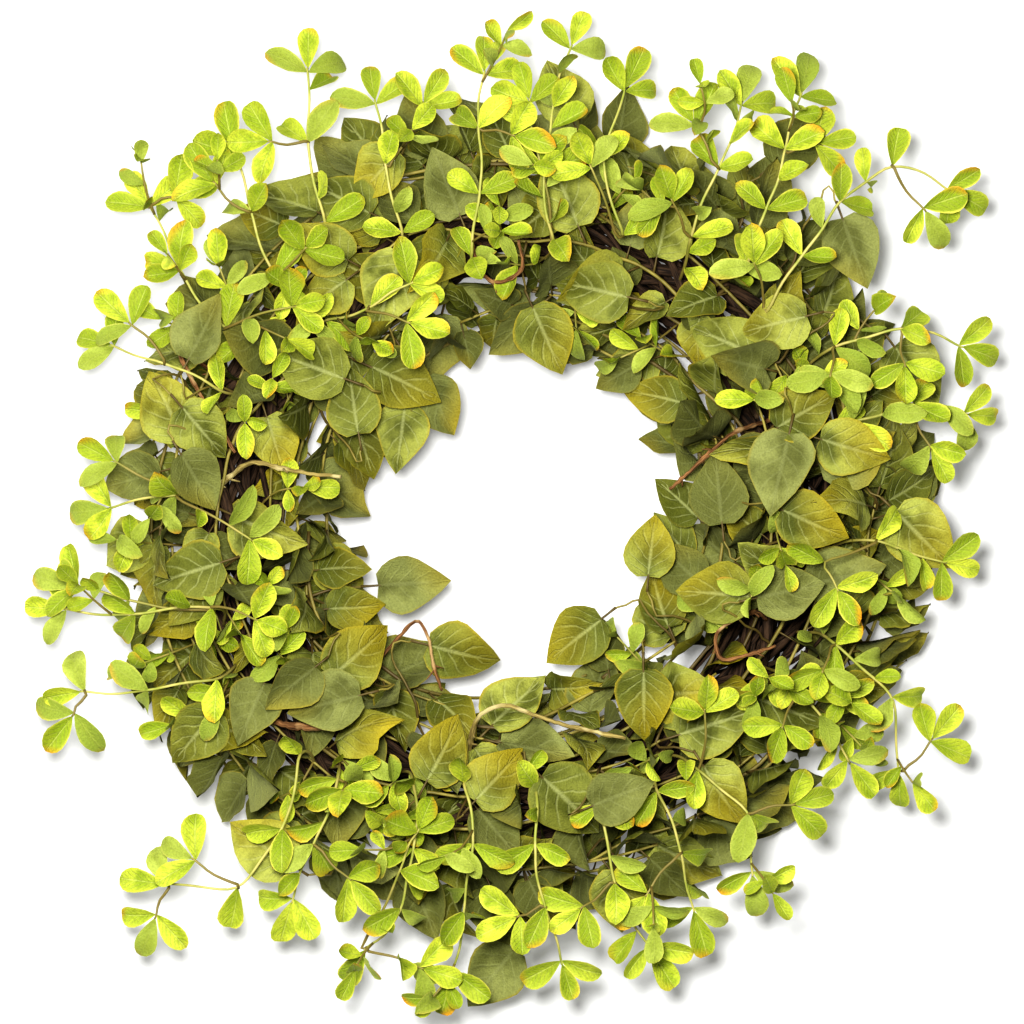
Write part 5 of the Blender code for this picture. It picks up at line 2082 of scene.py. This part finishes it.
TWIG_BARK = Bark("twig_bark_brown", "#A87D52", "#553A24", "#C6A878", scar_share=0.18)
PALE_BARK = Bark("twig_bark_pale", "#B9A768", "#7E6E40", "#D2C48F", scar_share=0.2)


# The studio


@dataclass
class Studio:
    """A pale floor, a soft light overhead and one at the upper left, an even fill, and the camera."""

    frame_width: float = 0.6144
    frame_height_level: float = 0.065
    camera_height: float = 6.0
    aim: tuple[float, float] = (0.0003, 0.0021)
    sensor: float = 36.0
    floor_side: float = 8.0
    floor_colour: str = "#D6D6D5"
    floor_glow: float = 0.15
    key_energy: float = 94.0
    key_size: float = 0.5
    key_place: tuple[float, float, float] = (-0.17, 0.21, 3.0)
    side_energy: float = 84.0
    side_size: float = 1.6
    side_place: tuple[float, float, float] = (-3.4, 2.4, 3.6)
    fill_strength: float = 0.17

    def build(self) -> None:
        """Make the floor, the lights and the camera."""
        self.lay_floor()
        self.hang("key_softbox", self.key_energy, self.key_size, self.key_place)
        self.hang("side_softbox", self.side_energy, self.side_size, self.side_place)
        world = bpy.data.worlds.new("even_fill")
        world.use_nodes = True
        background = world.node_tree.nodes["Background"]
        background.inputs["Color"].default_value = linear("#FFFFFF")
        background.inputs["Strength"].default_value = self.fill_strength
        bpy.context.scene.world = world
        bpy.context.scene.view_settings.view_transform = "Standard"
        bpy.context.scene.view_settings.look = "High Contrast"
        self.set_camera()

    def lay_floor(self) -> None:
        """Lay the floor, which isn't part of the object."""
        body = bmesh.new()
        bmesh.ops.create_grid(body, x_segments=1, y_segments=1, size=self.floor_side / 2.0)
        # The paper lies on a light table, which lifts the shadows on it.
        paper, _, _ = start_material("floor_paper", {
            "Base Color": linear(self.floor_colour), "Roughness": 0.9, "Specular IOR Level": 0.1,
            "Emission Color": linear("#FFFFFF"), "Emission Strength": self.floor_glow})
        floor = put_in("floor", kept_mesh(body, "floor"))
        floor.data.materials.append(paper)

    @staticmethod
    def hang(name: str, energy: float, size: float, place: tuple[float, float, float]) -> None:
        """Hang a softbox, turned to the wreath.

        Args:
            name: its name.
            energy: its power in watts.
            size: its width in metres.
            place: where it hangs.
        """
        lamp = bpy.data.lights.new(name, "AREA")
        lamp.shape = "DISK"
        lamp.size = size
        lamp.energy = energy
        softbox = put_in(name, lamp)
        softbox.location = place
        softbox.rotation_euler = (-Vector(place)).to_track_quat("-Z", "Y").to_euler()

    def set_camera(self) -> None:
        """Set the camera overhead, so that the wreath fills the frame as in the photograph."""
        distance = self.camera_height - self.frame_height_level
        lens = bpy.data.cameras.new("camera")
        lens.sensor_width = self.sensor
        lens.lens = self.sensor * distance / self.frame_width
        camera = put_in("camera", lens)
        camera.location = (*self.aim, self.camera_height)
        bpy.context.scene.camera = camera


def main() -> None:
    """Build the wreath and the studio, and report each piece."""
    logging.basicConfig(level=logging.INFO, format="%(name)s %(message)s", stream=sys.stdout)
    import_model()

    ring = CaneRing()
    room = Room()
    growth = Growth(room, ring.solids(room), leaf_patterns(BENDS))
    growth.grow()
    infill = Infill(growth, leaf_patterns(FILL_BENDS))
    infill.keep_twigs_in_view()
    infill.fill_lime()
    low_lime = [sprig for sprig in infill.low_sprigs(LOW_SPRIGS) if sprig.shoots]
    infill.tilt = 0.7
    infill.fill_broad()
    low = infill.understorey(LOW_LANES)
    for group, sprays in (("broad", growth.broad), ("lime", growth.lime), ("low", low)):
        LOG.info("%s leaves: %d", group, sum(len(spray.leaves) for spray in sprays))

    chance = Random(FILL_SEED + 1)
    cane_bark = CANE_BARK.material()
    ring.build(cane_bark)
    Vines().build(cane_bark, chance)
    pale_bark, twig_bark = PALE_BARK.material(), TWIG_BARK.material()
    for twig in growth.twigs:
        TwigPiece(twig, chance).build(pale_bark if twig.name in PALE_TWIGS else twig_bark)
    broad_finishes = [BROAD_UPPER.material(), BROAD_UNDER.material(), BROAD_STEM.material()]
    lime_finishes = [LIME_UPPER.material(), LIME_UNDER.material(), LIME_STEM.material()]
    for spray in growth.broad:
        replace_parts(LeafySpray(spray, chance).build(broad_finishes, Slot.BROAD_LEAF), spray.name)
    for sprig in growth.lime:
        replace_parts(LeafySpray(sprig, chance).build(lime_finishes, Slot.LIME_LEAF), sprig.name)
    for sprig in low_lime:
        LeafySpray(sprig, chance).build(lime_finishes, Slot.LIME_LEAF)
    # The low leaves take only the darker tones, as painted shade under the other sprays.
    for spray in low:
        LeafySpray(spray, chance, LOW_SHADE_TONES).build(broad_finishes, Slot.BROAD_LEAF)

    Studio().build()
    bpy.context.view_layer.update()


if __name__ == "__main__":
    main()
